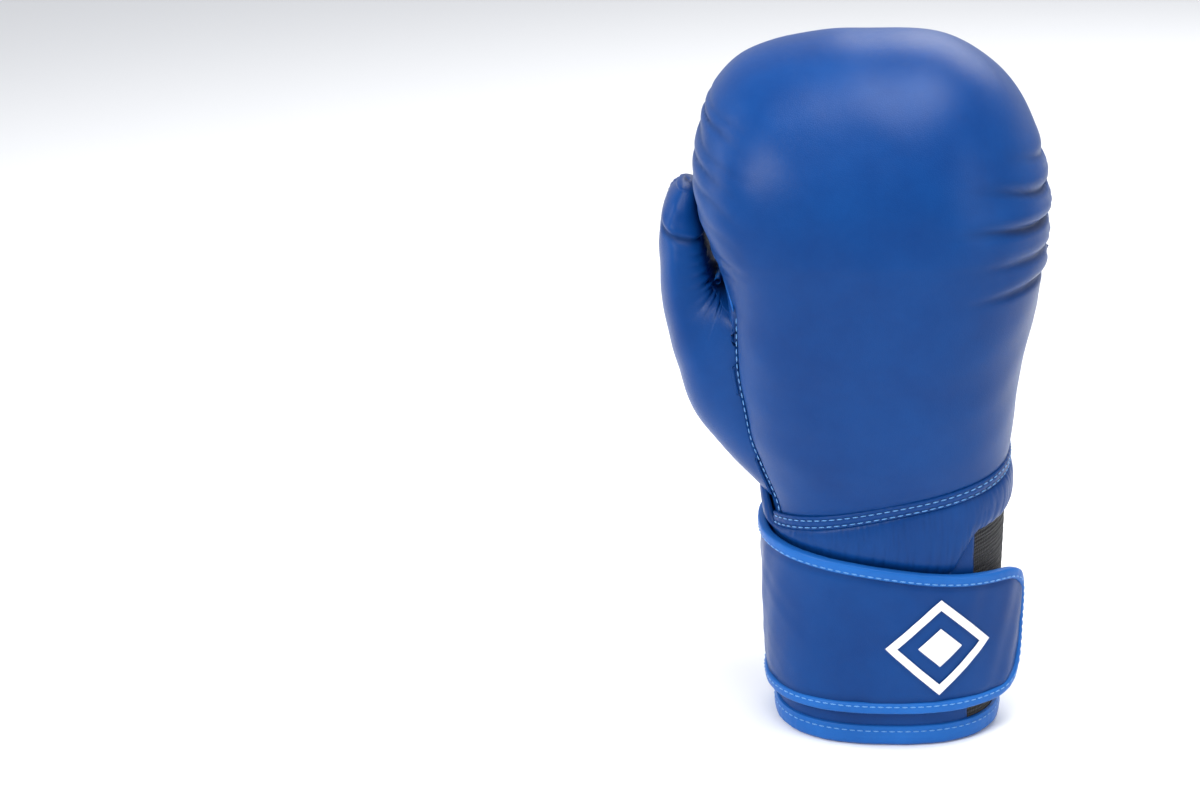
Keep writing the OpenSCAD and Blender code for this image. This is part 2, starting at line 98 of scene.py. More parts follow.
class Look:
    """A material's node tree. A method adds any node; sockets come back as Wire."""

    def __init__(self, name, **constants):
        self.material = bpy.data.materials.new(name)
        self.material.use_nodes = True
        self.tree = self.material.node_tree
        self.shader = self.tree.nodes["Principled BSDF"]
        for key, value in constants.items():
            self.shader.inputs[key.replace("_", " ")].default_value = value

    def node(self, kind, settings=None, ramp=None, out=0, **sockets):
        made = self.tree.nodes.new(kind)
        for key, value in (settings or {}).items():
            setattr(made, key, value)
        if ramp:
            stops = made.color_ramp.elements
            while len(stops) < len(ramp):
                stops.new(0.5)
            for stop, (place, colour) in zip(stops, ramp):
                stop.position = place
                stop.color = (*colour, 1)
        for key, value in sockets.items():
            name = key.replace("_", " ")
            socket = made.inputs[int(name[1:])] if name[1:].isdigit() else made.inputs[name]
            if isinstance(value, Wire):
                self.tree.links.new(value.socket, socket)
            else:
                socket.default_value = value
        return Wire(self, made.outputs[out])

    def math(self, operation, *values):
        return self.node("ShaderNodeMath", {"operation": operation},
                         **{f"i{k}": v for k, v in enumerate(values)})

    def place(self):
        return self.node("ShaderNodeTexCoord", out="Object")

    def mix(self, factor, a, b):
        wide = [(*c, 1) if isinstance(c, tuple) and len(c) == 3 else c for c in (a, b)]
        return self.node("ShaderNodeMix", {"data_type": "RGBA"}, out=2, i0=factor, i6=wide[0], i7=wide[1])

    def feed(self, **sockets):
        for key, value in sockets.items():
            self.tree.links.new(value.socket, self.shader.inputs[key.replace("_", " ")])
        return self.material

    def bump(self, height, strength, distance, under=None):
        more = {"Normal": under} if under else {}
        return self.node("ShaderNodeBump", Strength=strength, Distance=distance, Height=height, **more)


class Wire:
    """A socket that arithmetic works on, by adding Math nodes."""

    def __init__(self, look, socket):
        self.look = look
        self.socket = socket

    def __add__(self, other):
        return self.look.math("ADD", self, other)

    __radd__ = __add__

    def __sub__(self, other):
        return self.look.math("SUBTRACT", self, other)

    def __rsub__(self, other):
        return self.look.math("SUBTRACT", other, self)

    def __mul__(self, other):
        return self.look.math("MULTIPLY", self, other)

    __rmul__ = __mul__


floor_look = Look("pale_floor", Base_Color=(0.93, 0.935, 0.94, 1), Roughness=0.8)
floor_mesh = bpy.data.meshes.new("floor")
floor_bm = bmesh.new()
bmesh.ops.create_grid(floor_bm, x_segments=1, y_segments=1, size=30)
floor_bm.to_mesh(floor_mesh)
floor = bpy.data.objects.new("floor", floor_mesh)
floor_mesh.materials.append(floor_look.material)
scene.collection.objects.link(floor)

world = bpy.data.worlds.new("sky")
world.use_nodes = True
world.node_tree.nodes["Background"].inputs["Color"].default_value = (0.93, 0.95, 1, 1)
world.node_tree.nodes["Background"].inputs["Strength"].default_value = 0.62
scene.world = world
scene.view_settings.view_transform = "Standard"


def soft_light(name, place, aim_at, width, height, power):
    """An oblong area light at a place, turned towards a point."""
    lamp = bpy.data.lights.new(name, "AREA")
    lamp.shape = "RECTANGLE"
    lamp.size = width
    lamp.size_y = height
    lamp.energy = power
    made = bpy.data.objects.new(name, lamp)
    made.location = place
    made.rotation_euler = (Vector(aim_at) - Vector(place)).to_track_quat("-Z", "Y").to_euler()
    scene.collection.objects.link(made)


soft_light("key_light", (-0.85, -0.95, 0.95), (0, 0, 0.2), 0.42, 0.42, 12)
soft_light("top_light", (0.15, -0.1, 1.3), (0, 0, 0.2), 0.9, 0.6, 16)
soft_light("fill_light", (1.2, -0.7, 0.6), (0, 0, 0.15), 0.4, 1.0, 4)
soft_light("edge_light", (-1.2, 0.2, 0.5), (0, 0, 0.17), 0.3, 1.2, 5)
soft_light("back_light", (0.4, 1.3, 1.0), (0, 0, 0.15), 0.9, 0.7, 6)

# ---- Fist shell ---------------------------------------------------------------------------
# One piece of blue artificial leather, drawn over moulded foam. It rises from the wrist seam,
# curls over the knuckles and turns in at the palm, where it is gathered onto the mesh in pleats.
# All sizes are in millimetres and turned to metres when a mesh is placed.
shell_high = Vector(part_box("back_shell")[1]) / MM
rim_high = Vector(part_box("cuff_binding")[1]) / MM
TOP = shell_high.z + 0.1
CURL = Vector((0, 8, TOP - 78))
RIGHT, LEFT = shell_high.x, 77.0
BACK, REACH, RISE, DROP = 73.0, 60.0, 78.0, 38.0
SEAM = 102.0
CROTCH = 191.0
MESH_TOP = 172.0
MESH_SIDE = math.radians(27)
SHELL_THICK = 1.4


def profile(stations, soft=8):
    """Smooth curve through (height, value) stations."""
    z = np.arange(-60.0, 360.0)
    v = np.interp(z, *zip(*stations))
    k = np.exp(-(np.arange(-30, 31) / soft) ** 2 / 2)
    v = np.convolve(np.pad(v, 30, "edge"), k / k.sum(), "valid")
    return lambda q: np.interp(q, z, v)


right_at = profile([(0, 46.5), (14, 46.5), (90, 49.5), (118, 50), (131, 51.5), (152, 54.5), (172, 58.5),
                    (188, 61.5), (205, 64.2), (225, RIGHT), (300, RIGHT)], 6)
left_at = profile([(0, 46.5), (14, 46.5), (88, 48.5), (104, 51), (132, 61), (165, 65), (190, 63.5),
                   (200, 65.5), (212, 71), (228, 76.5), (240, 78), (300, 78)], 4)
back_at = profile([(0, 40), (60, 40.5), (90, 42), (103, 43), (114, 49), (128, 55.5), (150, 62), (175, 68.5),
                   (195, 72),
                   (212, BACK), (300, BACK)], 6)
palm_at = profile([(0, 36), (60, 34.5), (100, 30), (140, 27), (172, 25), (212, 25)], 8)
middle_at = profile([(0, 0), (20, 0), (190, 8), (300, 8)], 12)
blend_at = profile([(0, 0), (90, 0), (200, 1), (300, 1)], 14)


def ease(t):
    t = np.clip(t, 0, 1)
    return t * t * (3 - 2 * t)


def squircle(a, n):
    """Unit superellipse of power n in direction a, as (cosine part, sine part)."""
    c, s = np.cos(a), np.sin(a)
    r = (np.abs(c) ** n + np.abs(s) ** n) ** (-1 / n)
    return r * c, r * s


def side_power(a, z):
    """Squareness: the thumb side is squarer than the little-finger side."""
    m = ease((np.cos(a) + 0.6) / 1.2)
    return 2.5 + blend_at(z) * ((1 - m) * 1.1 + m * -0.1)


def ring(z, a, off=0.0):
    """Point of the hand at height z and angle a round it, off under its face."""
    c, s = squircle(a, side_power(a, z))
    x = np.where(c > 0, c * (right_at(z) - off), c * (left_at(z) - off))
    y = middle_at(z) - np.where(s > 0, s * (back_at(z) - off), s * (palm_at(z) - off))
    return np.stack([x, y, z + 0 * a], -1)


def hand_normal(z, a):
    """Outward normal of the hand's plain form."""
    da = ring(z, a + 1e-3) - ring(z, a - 1e-3)
    dz = ring(z + 0.3, a) - ring(z - 0.3, a)
    n = np.cross(dz, da)
    return n / np.linalg.norm(n, axis=-1, keepdims=True)


def curl_radius(phi):
    a = np.where(np.cos(phi) < 0, BACK, REACH)
    b = np.where(np.sin(phi) > 0, RISE, DROP)
    return (np.abs(np.cos(phi) / a) ** 2.3 + np.abs(np.sin(phi) / b) ** 2.3) ** (-1 / 2.3)


def curl(phi, a, off=0.0):
    """Point of the curled fist in direction phi and at angle a across it."""
    c, s = squircle(a, side_power(a, 300.0))
    r = (curl_radius(phi) - off) * s
    z = CURL.z + r * np.sin(phi)
    half = np.where(c > 0, right_at(np.maximum(z, CURL.z)), left_at(z)) - off
    return np.stack([c * half, CURL.y + r * np.cos(phi), z], -1)


def place_grid(name, rows, cols, shape, width=1.0, height=1.0, outward=None, close=False):
    """A sheet of rows by cols faces, each corner (u, v) put at shape(u, v), with u, v as its UV map."""
    bm = bmesh.new()
    bmesh.ops.create_grid(bm, x_segments=cols, y_segments=rows, size=1)
    uv = bm.loops.layers.uv.new("sheet")
    for face in bm.faces:
        for loop in face.loops:
            loop[uv].uv = ((loop.vert.co.x + 1) / 2 * width, (loop.vert.co.y + 1) / 2 * height)
    mesh = bpy.data.meshes.new(name)
    bm.to_mesh(mesh)
    bm.free()
    flat = np.empty(len(mesh.vertices) * 3)
    mesh.vertices.foreach_get("co", flat)
    flat = (flat.reshape(-1, 3) + 1) / 2
    made = shape(flat[:, 0], flat[:, 1])
    # A shape may also give a fold amount per point: the depth of its creases, gathers and seam dips, which
    # the materials use as painted shade that darkens the colour there.
    fold_shade = None
    if isinstance(made, tuple):
        made, fold_shade = made
    mesh.vertices.foreach_set("co", (made * MM).ravel())
    if fold_shade is not None:
        mesh.attributes.new("fold_shade", "FLOAT", "POINT").data.foreach_set("value", fold_shade)
    mesh.update()
    if outward is not None:
        centres = np.empty(len(mesh.polygons) * 3)
        normals = np.empty(len(mesh.polygons) * 3)
        mesh.polygons.foreach_get("center", centres)
        mesh.polygons.foreach_get("normal", normals)
        away = outward(centres.reshape(-1, 3) / MM)
        if (away * normals.reshape(-1, 3)).sum() < 0:
            mesh.flip_normals()
    if close:
        bm = bmesh.new()
        bm.from_mesh(mesh)
        bmesh.ops.remove_doubles(bm, verts=bm.verts, dist=2e-5)
        bm.to_mesh(mesh)
        bm.free()
    mesh.shade_smooth()
    return mesh


def from_axis(centres):
    """Away from the hand's upright middle line."""
    away = centres.copy()
    away[:, 1] -= middle_at(centres[:, 2])
    away[:, 2] = 0
    return away


def add_piece(name, mesh, look, body, nodes=(), thick=0.0, inward=True):
    """A finished piece: its object, material, body, and the CAD nodes that it stands for."""
    made = bpy.data.objects.new(name, mesh)
    mesh.materials.clear()
    mesh.materials.append(look)
    scene.collection.objects.link(made)
    if thick:
        wall = made.modifiers.new("wall", "SOLIDIFY")
        wall.thickness = thick * MM
        wall.offset = -1 if inward else 1
    if body:
        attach(made, body)
    if nodes:
        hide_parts(*nodes)
    return made


ROLL_END = math.radians(-62)
rows_up, rows_over, rows_in = 80, 150, 40
row_count = rows_up + rows_over + rows_in


def side_from(z):
    """Where the shell's edge runs on the little-finger side: by the mesh, then up to the pole."""
    return -MESH_SIDE * ease((CURL.z - z) / (CURL.z - MESH_TOP + 14))


THUMB_SEAM = math.radians(146)


def side_to(z):
    """The same edge on the thumb side, where below the crotch the thumb's leather takes over."""
    full = math.pi + MESH_SIDE * ease((CURL.z - z) / (CURL.z - MESH_TOP + 14))
    return THUMB_SEAM + (full - THUMB_SEAM) * ease((z - CROTCH + 9) / 12)


def seam_height(a):
    return SEAM + 12 * np.cos(a)


def across(v, start, end):
    """Angle across the shell, with its columns kept in step on the thumb side."""
    return np.where(v < 0.84, start + (THUMB_SEAM - start) * v / 0.84,
                    THUMB_SEAM + (end - THUMB_SEAM) * (v - 0.84) / 0.16)


def mesh_edge(v):
    """The palm mesh's top edge, with round corners, from the little-finger side to the thumb."""
    a = -MESH_SIDE + v * (-math.pi + 2 * MESH_SIDE)
    z = MESH_TOP + 6 - 20 * np.abs(2 * v - 1) ** 3.2
    return a, z


def ridges(t, sharp=2.2):
    """Gathers along t: round crests and narrow valleys, from 0 at a valley to 1 at a crest."""
    return np.abs(np.sin(np.pi * t)) ** (1 / sharp)


def under(depth, a, along):
    """How far below the leather's face a layer lies, under so many millimetres of full padding."""
    if not depth:
        return 0.0
    return SHELL_THICK + 2.6 + depth * (0.25 + 0.75 * ease((np.sin(a) + 0.5) / 1.3)) * along


def fist_base(u, v, depth=0.0):
    """The shell's plain form: up from the wrist seam, over the knuckles, and in at the palm."""
    row = v * row_count
    up = np.clip(row / rows_up, 0, 1)
    z_up = SEAM + (CURL.z - SEAM) * up
    a_up = across(u, side_from(z_up), side_to(z_up))
    lift = seam_height(a_up) + 0.8
    z_up = lift + (CURL.z - lift) * up
    p_up = ring(z_up, a_up, under(depth, a_up, 0.24 + 0.76 * ease((z_up - SEAM) / 60)))
    t = np.clip((row - rows_up) / rows_over, 0, 1)
    phi = math.pi + (ROLL_END - math.pi) * t
    a_over = across(u, 0.0, math.pi)
    thin = 1 - 0.5 * (1 - ease((phi - ROLL_END) / 2.1)) * np.sin(a_over)
    off = under(depth, a_over, thin)
    p_over = curl(phi, a_over, off)
    k = np.clip((row - rows_up - rows_over) / rows_in, 0, 1)
    roll = curl(np.full_like(u, ROLL_END), a_over, off)
    w = across(u, 0.0, math.pi) / math.pi
    a_m, z_m = mesh_edge(w)
    edge = ring(z_m, a_m, off)
    dip = np.sin(np.pi * k) * np.sin(np.pi * w) ** 0.6
    p_in = roll + (edge - roll) * ease(k)[:, None]
    p_in[:, 1] -= 9 * dip
    for pole, sign in ((0.0, 1), (math.pi, -1)):
        zz = CURL.z - (CURL.z - mesh_edge(np.array([pole / math.pi]))[1][0]) * k
        a = side_from(zz) if sign > 0 else math.pi - side_from(zz)
        want = ring(zz, a, off)
        have_k = curl(np.full_like(u, ROLL_END), np.full_like(u, pole), off)
        end_a, end_z = mesh_edge(np.full_like(u, pole / math.pi))
        have = have_k + (ring(end_z, end_a, off) - have_k) * ease(k)[:, None]
        near = np.clip(1 - np.abs(w - pole / math.pi) * 2, 0, 1)[:, None] ** 3
        p_in += (want - have) * near
    return np.where((row <= rows_up)[:, None], p_up,
                    np.where((row <= rows_up + rows_over)[:, None], p_over, p_in))


def numeric_normals(shape, u, v, step=2e-3):
    """Outward normals of a mapped sheet, by small steps along it."""
    du = shape(np.clip(u + step, 0, 1), v) - shape(np.clip(u - step, 0, 1), v)
    dv = shape(u, np.clip(v + step, 0, 1)) - shape(u, np.clip(v - step, 0, 1))
    n = np.cross(dv, du)
    size = np.linalg.norm(n, axis=1, keepdims=True)
    pole = np.where(u < 0.5, 1.0, -1.0)[:, None] * np.array([[1.0, 0.0, 0.0]])
    return np.where(size < 1e-3, pole, n / np.maximum(size, 1e-9))


def wobble(x, seed, rough=5):
    """Smooth irregular wave along x, the same on every run."""
    draw = np.random.default_rng(seed)
    total = np.zeros_like(x)
    for k in range(1, rough + 1):
        total += np.sin(x * k * draw.uniform(0.7, 1.3) + draw.uniform(0, 6.3)) / k
    return total / 1.6


PLEAT_CENTRE_Y, PLEAT_CENTRE_Z = 22, 196


def fist_gathers(p, v):
    """How far gathers press the leather in, and how deep a fold is there from 0 to 1."""
    x, y, z = p.T
    total = np.zeros_like(x)
    # the fan of pleats round the mesh's corner, on the little-finger side and the roll's underside
    for sign in (1, -1):
        dy, dz = y - PLEAT_CENTRE_Y, z - PLEAT_CENTRE_Z
        psi = np.arctan2(dz, dy)
        far = np.sqrt(dy ** 2 + dz ** 2)
        lateral = np.clip((x * sign - 22) / 38, 0, 1)
        front = ease((y + 18) / 26)
        reach = ease((58 - far) / 34) * ease(far / 12)
        turns = psi * (4.6 if sign > 0 else 4.2) + 0.35 * wobble(psi * 3, 5 + sign)
        depth = 2.6 * front * reach * lateral ** 1.2
        total += depth * (1 - ridges(turns, 2.4))
    # short gathers all along the mesh's top edge, under the roll
    under = ease((v - 0.80) / 0.1) * ease((24 - np.abs(x)) / 60 + 0.9)
    line = x / 6.5 + 0.5 * wobble(x / 16, 11)
    total += 1.3 * under * (1 - ridges(line, 2.0))
    # five sharp folds at the little-finger edge of the back of the hand
    for fold_z, slope, reach, deep in ((197, 0.10, 46, 2.2), (207, 0.22, 40, 1.8), (219, 0.30, 54, 2.8),
                                       (231, 0.42, 44, 2.0), (242, 0.5, 26, 1.0)):
        line = z - (fold_z + slope * (RIGHT - x) - 0.004 * (RIGHT - x) ** 2)
        inward = ease((x - RIGHT + reach) / reach) * ease((34 - y) / 24)
        total += deep * inward ** 1.6 * np.exp(-(line / 1.7) ** 2)
        total -= 0.45 * deep * inward ** 1.6 * np.exp(-((line - 4.4) / 3.2) ** 2)
    # small gathers down the thumb-side edge of the fist
    inward = ease((-x - LEFT + 32) / 30) * ease((34 - y) / 20) * ease((z - 196) / 12) * ease((276 - z) / 16)
    line = z / 8.2 + 0.06 * (x + LEFT) + 0.6 * wobble(z / 12, 3)
    total += 1.9 * inward ** 1.5 * (1 - ridges(line, 1.7)) * (0.65 + 0.35 * wobble(z / 9, 8))
    return total


def fist_shape(u, v):
    p = fist_base(u, v)
    n = numeric_normals(fist_base, u, v)
    x, y, z = p.T
    # at the two side edges the rising and the turned-in leather lie together
    inset = np.minimum(u, 1 - u)
    held = (1 - ease(inset * 45))[:, None]
    n = n * (1 - held) + hand_normal(z, np.arctan2(middle_at(z) - y, x)) * held
    n /= np.linalg.norm(n, axis=1, keepdims=True)
    press = fist_gathers(p, v * ease(inset * 30))
    # slack: broad, shallow unevenness of a padded skin
    slack = 0.45 * (wobble(x / 23 + z / 31, 21) + wobble(z / 19 - y / 27, 22))
    # the skin is pulled down at its seams
    thumb_line = ease(1 - np.abs(u - 0.84) / 0.018) * ease((CROTCH + 4 - z) / 8)
    foot = ease(1 - v * row_count / 5)
    press = press + 1.5 * thumb_line + 0.9 * foot
    fade = np.clip(v * row_count / 6, 0, 1)
    moved = p + n * (slack * fade - press)[:, None]
    # the second value is the painted shade: how much the leather's colour is darkened in the gathers and
    # folds
    return moved, np.clip(press / 2.2, 0, 1)


def leather_look(name, deep, pale, rough=0.4, grain=1.0, coat=0.03):
    """Semi-matt artificial leather: fine pebbled grain, soft mottling, and painted shade that darkens the
    folds.
    """
    look = Look(name, Coat_Weight=coat, Coat_Roughness=0.32, Specular_IOR_Level=0.12)
    at = look.place()
    mottle = look.node("ShaderNodeTexNoise", Vector=at, Scale=24.0, Detail=4.0, Roughness=0.6)
    fine = look.node("ShaderNodeTexNoise", Vector=at, Scale=420.0, Detail=3.0, Roughness=0.6)
    cells = look.node("ShaderNodeTexVoronoi", {"feature": "DISTANCE_TO_EDGE"}, Vector=at, Scale=1250.0)
    pores = look.node("ShaderNodeMapRange", Value=cells, From_Max=0.16)
    fold_shade = look.node("ShaderNodeAttribute", {"attribute_name": "fold_shade"}, out="Fac")
    tone = look.mix(look.node("ShaderNodeMapRange", Value=mottle, From_Min=0.3, From_Max=0.7), deep, pale)
    worn = look.mix(pores * 0.10 + 0.90, tuple(c * 0.72 for c in deep), tone)
    # painted shade: the colour goes darker where the mesh's fold amount marks creases, gathers and seam dips
    dark = look.mix(fold_shade * 0.72, worn, tuple(c * 0.25 for c in deep))
    gloss = mottle * 0.12 + fine * 0.08 + (rough - 0.10) + fold_shade * 0.15
    height = look.bump(pores * 0.6 + fine * 0.55, 0.20 * grain, 0.00022)
    broad = look.bump(mottle, 0.12, 0.0016, height)
    return look.feed(Base_Color=dark, Roughness=gloss, Normal=broad)


BLUE_DEEP = (0.0018, 0.034, 0.160)
BLUE_PALE = (0.0028, 0.048, 0.205)
blue_leather = leather_look("blue_leather", BLUE_DEEP, BLUE_PALE, 0.33)
fist_mesh = place_grid("fist_shell", row_count, 220, fist_shape, 0.30, 0.42,
                       lambda c: c - np.array([-4, CURL.y, 150]))
fist = add_piece("fist_shell", fist_mesh, blue_leather, "hand", ("back_shell",), thick=SHELL_THICK)

# ---- Padding and finger lining ------------------------------------------------------------
# Under the leather lie a firm moulded foam and a softer one, and inside them the satin pocket
# that the fingers slide into. All three follow the shell's form at their own depths.


def foam_look(name, colour):
    """Closed-cell foam: pale, dull, with small open bubbles on its cut faces."""
    look = Look(name, Roughness=0.9)
    at = look.place()
    bubbles = look.node("ShaderNodeTexVoronoi", Vector=at, Scale=700.0)
    patches = look.node("ShaderNodeTexNoise", Vector=at, Scale=40.0, Detail=3.0)
    tone = look.mix(patches, tuple(c * 0.8 for c in colour), colour)
    return look.feed(Base_Color=tone, Normal=look.bump(bubbles, 0.5, 0.0004))


def satin_look(name, colour, scale=1.0):
    """Black satin lining: very fine diagonal twill with a silky sheen, creased here and there, with painted
    shade that darkens its folds.
    """
    look = Look(name, Sheen_Weight=0.25, Sheen_Roughness=0.4)
    at = look.place()
    twill = look.node("ShaderNodeTexWave", {"bands_direction": "DIAGONAL"}, Vector=at,
                      Scale=480.0 * scale, Distortion=0.6, Detail=1.0)
    crease = look.node("ShaderNodeTexNoise", Vector=at, Scale=38.0, Detail=5.0, Roughness=0.55)
    fold_shade = look.node("ShaderNodeAttribute", {"attribute_name": "fold_shade"}, out="Fac")
    tone = look.mix(crease, tuple(c * 0.6 for c in colour), tuple(c * 1.35 for c in colour))
    # painted shade: the colour goes darker where the mesh's fold amount marks its creases
    dark = look.mix(fold_shade * 0.6, tone, tuple(c * 0.3 for c in colour))
    near = look.bump(twill, 0.25, 0.00012)
    return look.feed(Base_Color=dark, Roughness=crease * 0.25 + 0.3,
                     Normal=look.bump(crease, 0.3, 0.0012, near))


firm_foam = foam_look("firm_foam", (0.30, 0.31, 0.33))
soft_foam = foam_look("soft_foam", (0.52, 0.50, 0.44))
black_satin = satin_look("black_satin", (0.022, 0.022, 0.023))
CURL_END = (rows_up + rows_over) / row_count
for name, node, depth, thick, look in (("moulded_foam", "outer_foam", 0.01, 8, firm_foam),
                                       ("soft_padding", "inner_foam", 13, 6, soft_foam),
                                       ("finger_pocket", "finger_lining", 21, 1, black_satin)):
    layer = place_grid(name, 70, 60, lambda u, v: fist_base(u, 0.01 + v * (CURL_END - 0.02), depth),
                       0.3, 0.36, lambda c: c - np.array([-4, CURL.y, 150]))
    pad = add_piece(name, layer, look, "hand", (node,), thick)

# ---- Palm mesh and palm padding -------------------------------------------------------------
# The palm is a bright blue spacer mesh with hexagonal cells, from the rim up to the finger roll.
# Two curved double seams cross it, and a small padded bar lies under the fingers' roll.
MESH_FROM, MESH_TO = math.radians(-26), math.radians(-154)
MESH_FOOT = rim_high.z / 2


def mesh_cell_look(name, web, cell, pitch=0.0026):
    """Spacer mesh: shiny knitted webs round small dark hexagonal cells, laid out on the cloth."""
    look = Look(name, Sheen_Weight=0.05, Sheen_Roughness=0.4, Specular_IOR_Level=0.25)
    uv = look.node("ShaderNodeUVMap", {"uv_map": "sheet"})
    parts = [look.node("ShaderNodeSeparateXYZ", Vector=uv, out=k) for k in (0, 1)]
    k = 2 * math.pi / (pitch * math.sqrt(3) / 2)
    waves = [look.math("COSINE", parts[0] * (k * math.cos(t)) + parts[1] * (k * math.sin(t)))
             for t in (math.pi / 6, math.pi / 2, 5 * math.pi / 6)]
    total = (waves[0] + waves[1]) + waves[2]
    hole = look.node("ShaderNodeMapRange", {"interpolation_type": "SMOOTHSTEP"}, Value=total,
                     From_Min=0.1, From_Max=1.5)
    thread = look.node("ShaderNodeTexNoise", Vector=look.place(), Scale=900.0, Detail=3.0)
    broad = look.node("ShaderNodeTexNoise", Vector=look.place(), Scale=22.0, Detail=3.0)
    fold_shade = look.node("ShaderNodeAttribute", {"attribute_name": "fold_shade"}, out="Fac")
    tone = look.mix(thread, tuple(c * 0.75 for c in web), tuple(min(1.0, c * 1.25) for c in web))
    tone = look.mix(broad * 0.4, tone, tuple(c * 0.6 for c in web))
    # painted shade: the web's colour goes towards the dark cells' colour where the mesh's fold amount marks
    # seams, gathers and edges
    tone = look.mix(fold_shade * 0.8, look.mix(hole, tone, cell), cell)
    knit = look.bump((1 - hole) + thread * 0.25, 0.7, 0.0007)
    return look.feed(Base_Color=tone, Roughness=hole * 0.3 + 0.42, Normal=knit)


spacer_mesh = mesh_cell_look("spacer_mesh", (0.0045, 0.085, 0.42), (0.0012, 0.012, 0.075))


def arch(a, foot, rise):
    """Height of a seam that arches across the palm."""
    return foot + rise * np.cos((a + math.pi / 2) * 1.25)


def palm_shape(u, v):
    a = MESH_FROM + (MESH_TO - MESH_FROM) * u
    _, top = mesh_edge((a + MESH_SIDE) / (2 * MESH_SIDE - math.pi))
    z = MESH_FOOT + (top + 3 - MESH_FOOT) * v
    n = hand_normal(z, a)
    seams = sum(np.exp(-((z - arch(a, foot, rise)) / 1.1) ** 2) for foot, rise in PALM_SEAMS)
    slack = 0.5 * wobble(z / 15 + a * 2, 31) + 0.4 * wobble(a * 9 - z / 30, 32)
    gather = ease((z - top + 16) / 16) * (1 - ridges(a * 58 / math.pi / 1.1 + 0.4 * wobble(a * 9, 5), 1.8))
    edge = np.minimum(u, 1 - u) * 90
    dip = 0.9 * seams + 1.2 * gather + 0.8 * ease(1 - edge / 3)
    swell = 1.6 * np.sin(np.pi * np.clip((z - arch(a, *PALM_SEAMS[0])) / 24, 0, 1)) ** 0.7
    lift = slack * ease(edge / 6) * ease(z / 20) - dip + swell * ease(edge / 14) - 0.1
    p = ring(z, a) + n * lift[:, None]
    return p, np.clip(dip / 2, 0, 1)


PALM_SEAMS = ((128, 7), (152, 5))


palm = add_piece("palm_mesh_panel", place_grid("palm_mesh_panel", 130, 110, palm_shape, 0.118, 0.175,
                                               from_axis),
                 spacer_mesh, "hand", ("palm_mesh",), 1.2)


palm_padding = add_piece("palm_padding", place_grid(
    "palm_padding", 24, 50, lambda u, v: ring(SEAM + 4 + (MESH_TOP - 12 - SEAM) * v,
                                              math.radians(-36) - math.radians(108) * u, 3.6),
    0.1, 0.06, from_axis), soft_foam, "hand", ("palm_foam",), 3.0)


def bar_shape(u, v):
    """A closed crowned bar across the palm: u along it, v round it."""
    a = math.radians(-48) - math.radians(84) * u
    thick = 4.3 * np.sqrt(np.clip(1 - np.abs(2 * u - 1) ** 3, 0, 1)) + 0.01
    turn = 2 * math.pi * v
    z = 158 + 1.9 * thick * np.sin(turn) + 3 * np.cos((a + math.pi / 2) * 1.3)
    rib = 1 - 0.10 * (1 - ridges(u * 9, 1.6))
    proud = 0.9 + thick * rib * np.cos(turn)
    return ring(158 + 0 * u, a, 0) + hand_normal(158 + 0 * u, a) * proud[:, None] \
        + np.stack([0 * z, 0 * z, z - 158], -1)


bar = add_piece("finger_bar", place_grid("finger_bar", 24, 70, bar_shape, 0.092, 0.036,
                                         lambda c: c - ring(158 + 0 * c[:, 0], np.arctan2(
                                             -(c[:, 1] - middle_at(158.0)), c[:, 0])), close=True),
                spacer_mesh, "hand", ("finger_pad",))

# ---- Threads --------------------------------------------------------------------------------
# Every seam is run in a thick pale blue thread, in stitches about three millimetres long.
THREAD = (0.085, 0.30, 0.66)


def thread_look():
    """Twisted polyester thread, a little shiny."""
    look = Look("pale_blue_thread", Sheen_Weight=0.3)
    twist = look.node("ShaderNodeTexWave", {"bands_direction": "DIAGONAL"}, Vector=look.place(),
                      Scale=900.0, Distortion=1.0)
    tone = look.mix(twist, tuple(c * 0.6 for c in THREAD), tuple(min(1.0, c * 1.2) for c in THREAD))
    return look.feed(Base_Color=tone, Roughness=twist * 0.2 + 0.4, Normal=look.bump(twist, 0.4, 0.0002))


blue_thread = thread_look()


def along_path(points, normals, pitch):
    """Points, directions and normals at even steps along a path."""
    gaps = np.linalg.norm(np.diff(points, axis=0), axis=1)
    s = np.concatenate([[0], np.cumsum(gaps)])
    at = np.arange(pitch / 2, s[-1], pitch)
    p = np.stack([np.interp(at, s, points[:, k]) for k in range(3)], -1)
    ahead_p = np.stack([np.interp(at + 0.5, s, points[:, k]) for k in range(3)], -1)
    behind_p = np.stack([np.interp(at - 0.5, s, points[:, k]) for k in range(3)], -1)
    n = np.stack([np.interp(at, s, normals[:, k]) for k in range(3)], -1)
    t = ahead_p - behind_p
    return p, t / np.linalg.norm(t, axis=1, keepdims=True), n / np.linalg.norm(n, axis=1, keepdims=True)


def stitch_rows(name, rows, body, pitch=3.3, length=2.5, width=0.62):
    """Rows of stitches along paths of points and normals, as one piece."""
    bm = bmesh.new()
    for points, normals in rows:
        for p, t, n in zip(*along_path(points, normals, pitch)):
            b = np.cross(n, t)
            place = Matrix(((t[0], b[0], n[0], p[0]), (t[1], b[1], n[1], p[1]), (t[2], b[2], n[2], p[2]),
                            (0, 0, 0, 1)))
            size = Matrix.Diagonal((length / 2, width / 2, width / 2 * 0.9, 1))
            bmesh.ops.create_uvsphere(bm, u_segments=6, v_segments=4, radius=1,
                                      matrix=Matrix.Scale(MM, 4) @ place @ size
                                      @ Matrix.Rotation(math.pi / 2, 4, "Y"))
    mesh = bpy.data.meshes.new(name)
    bm.to_mesh(mesh)
    bm.free()
    mesh.shade_smooth()
    return add_piece(name, mesh, blue_thread, body, ())


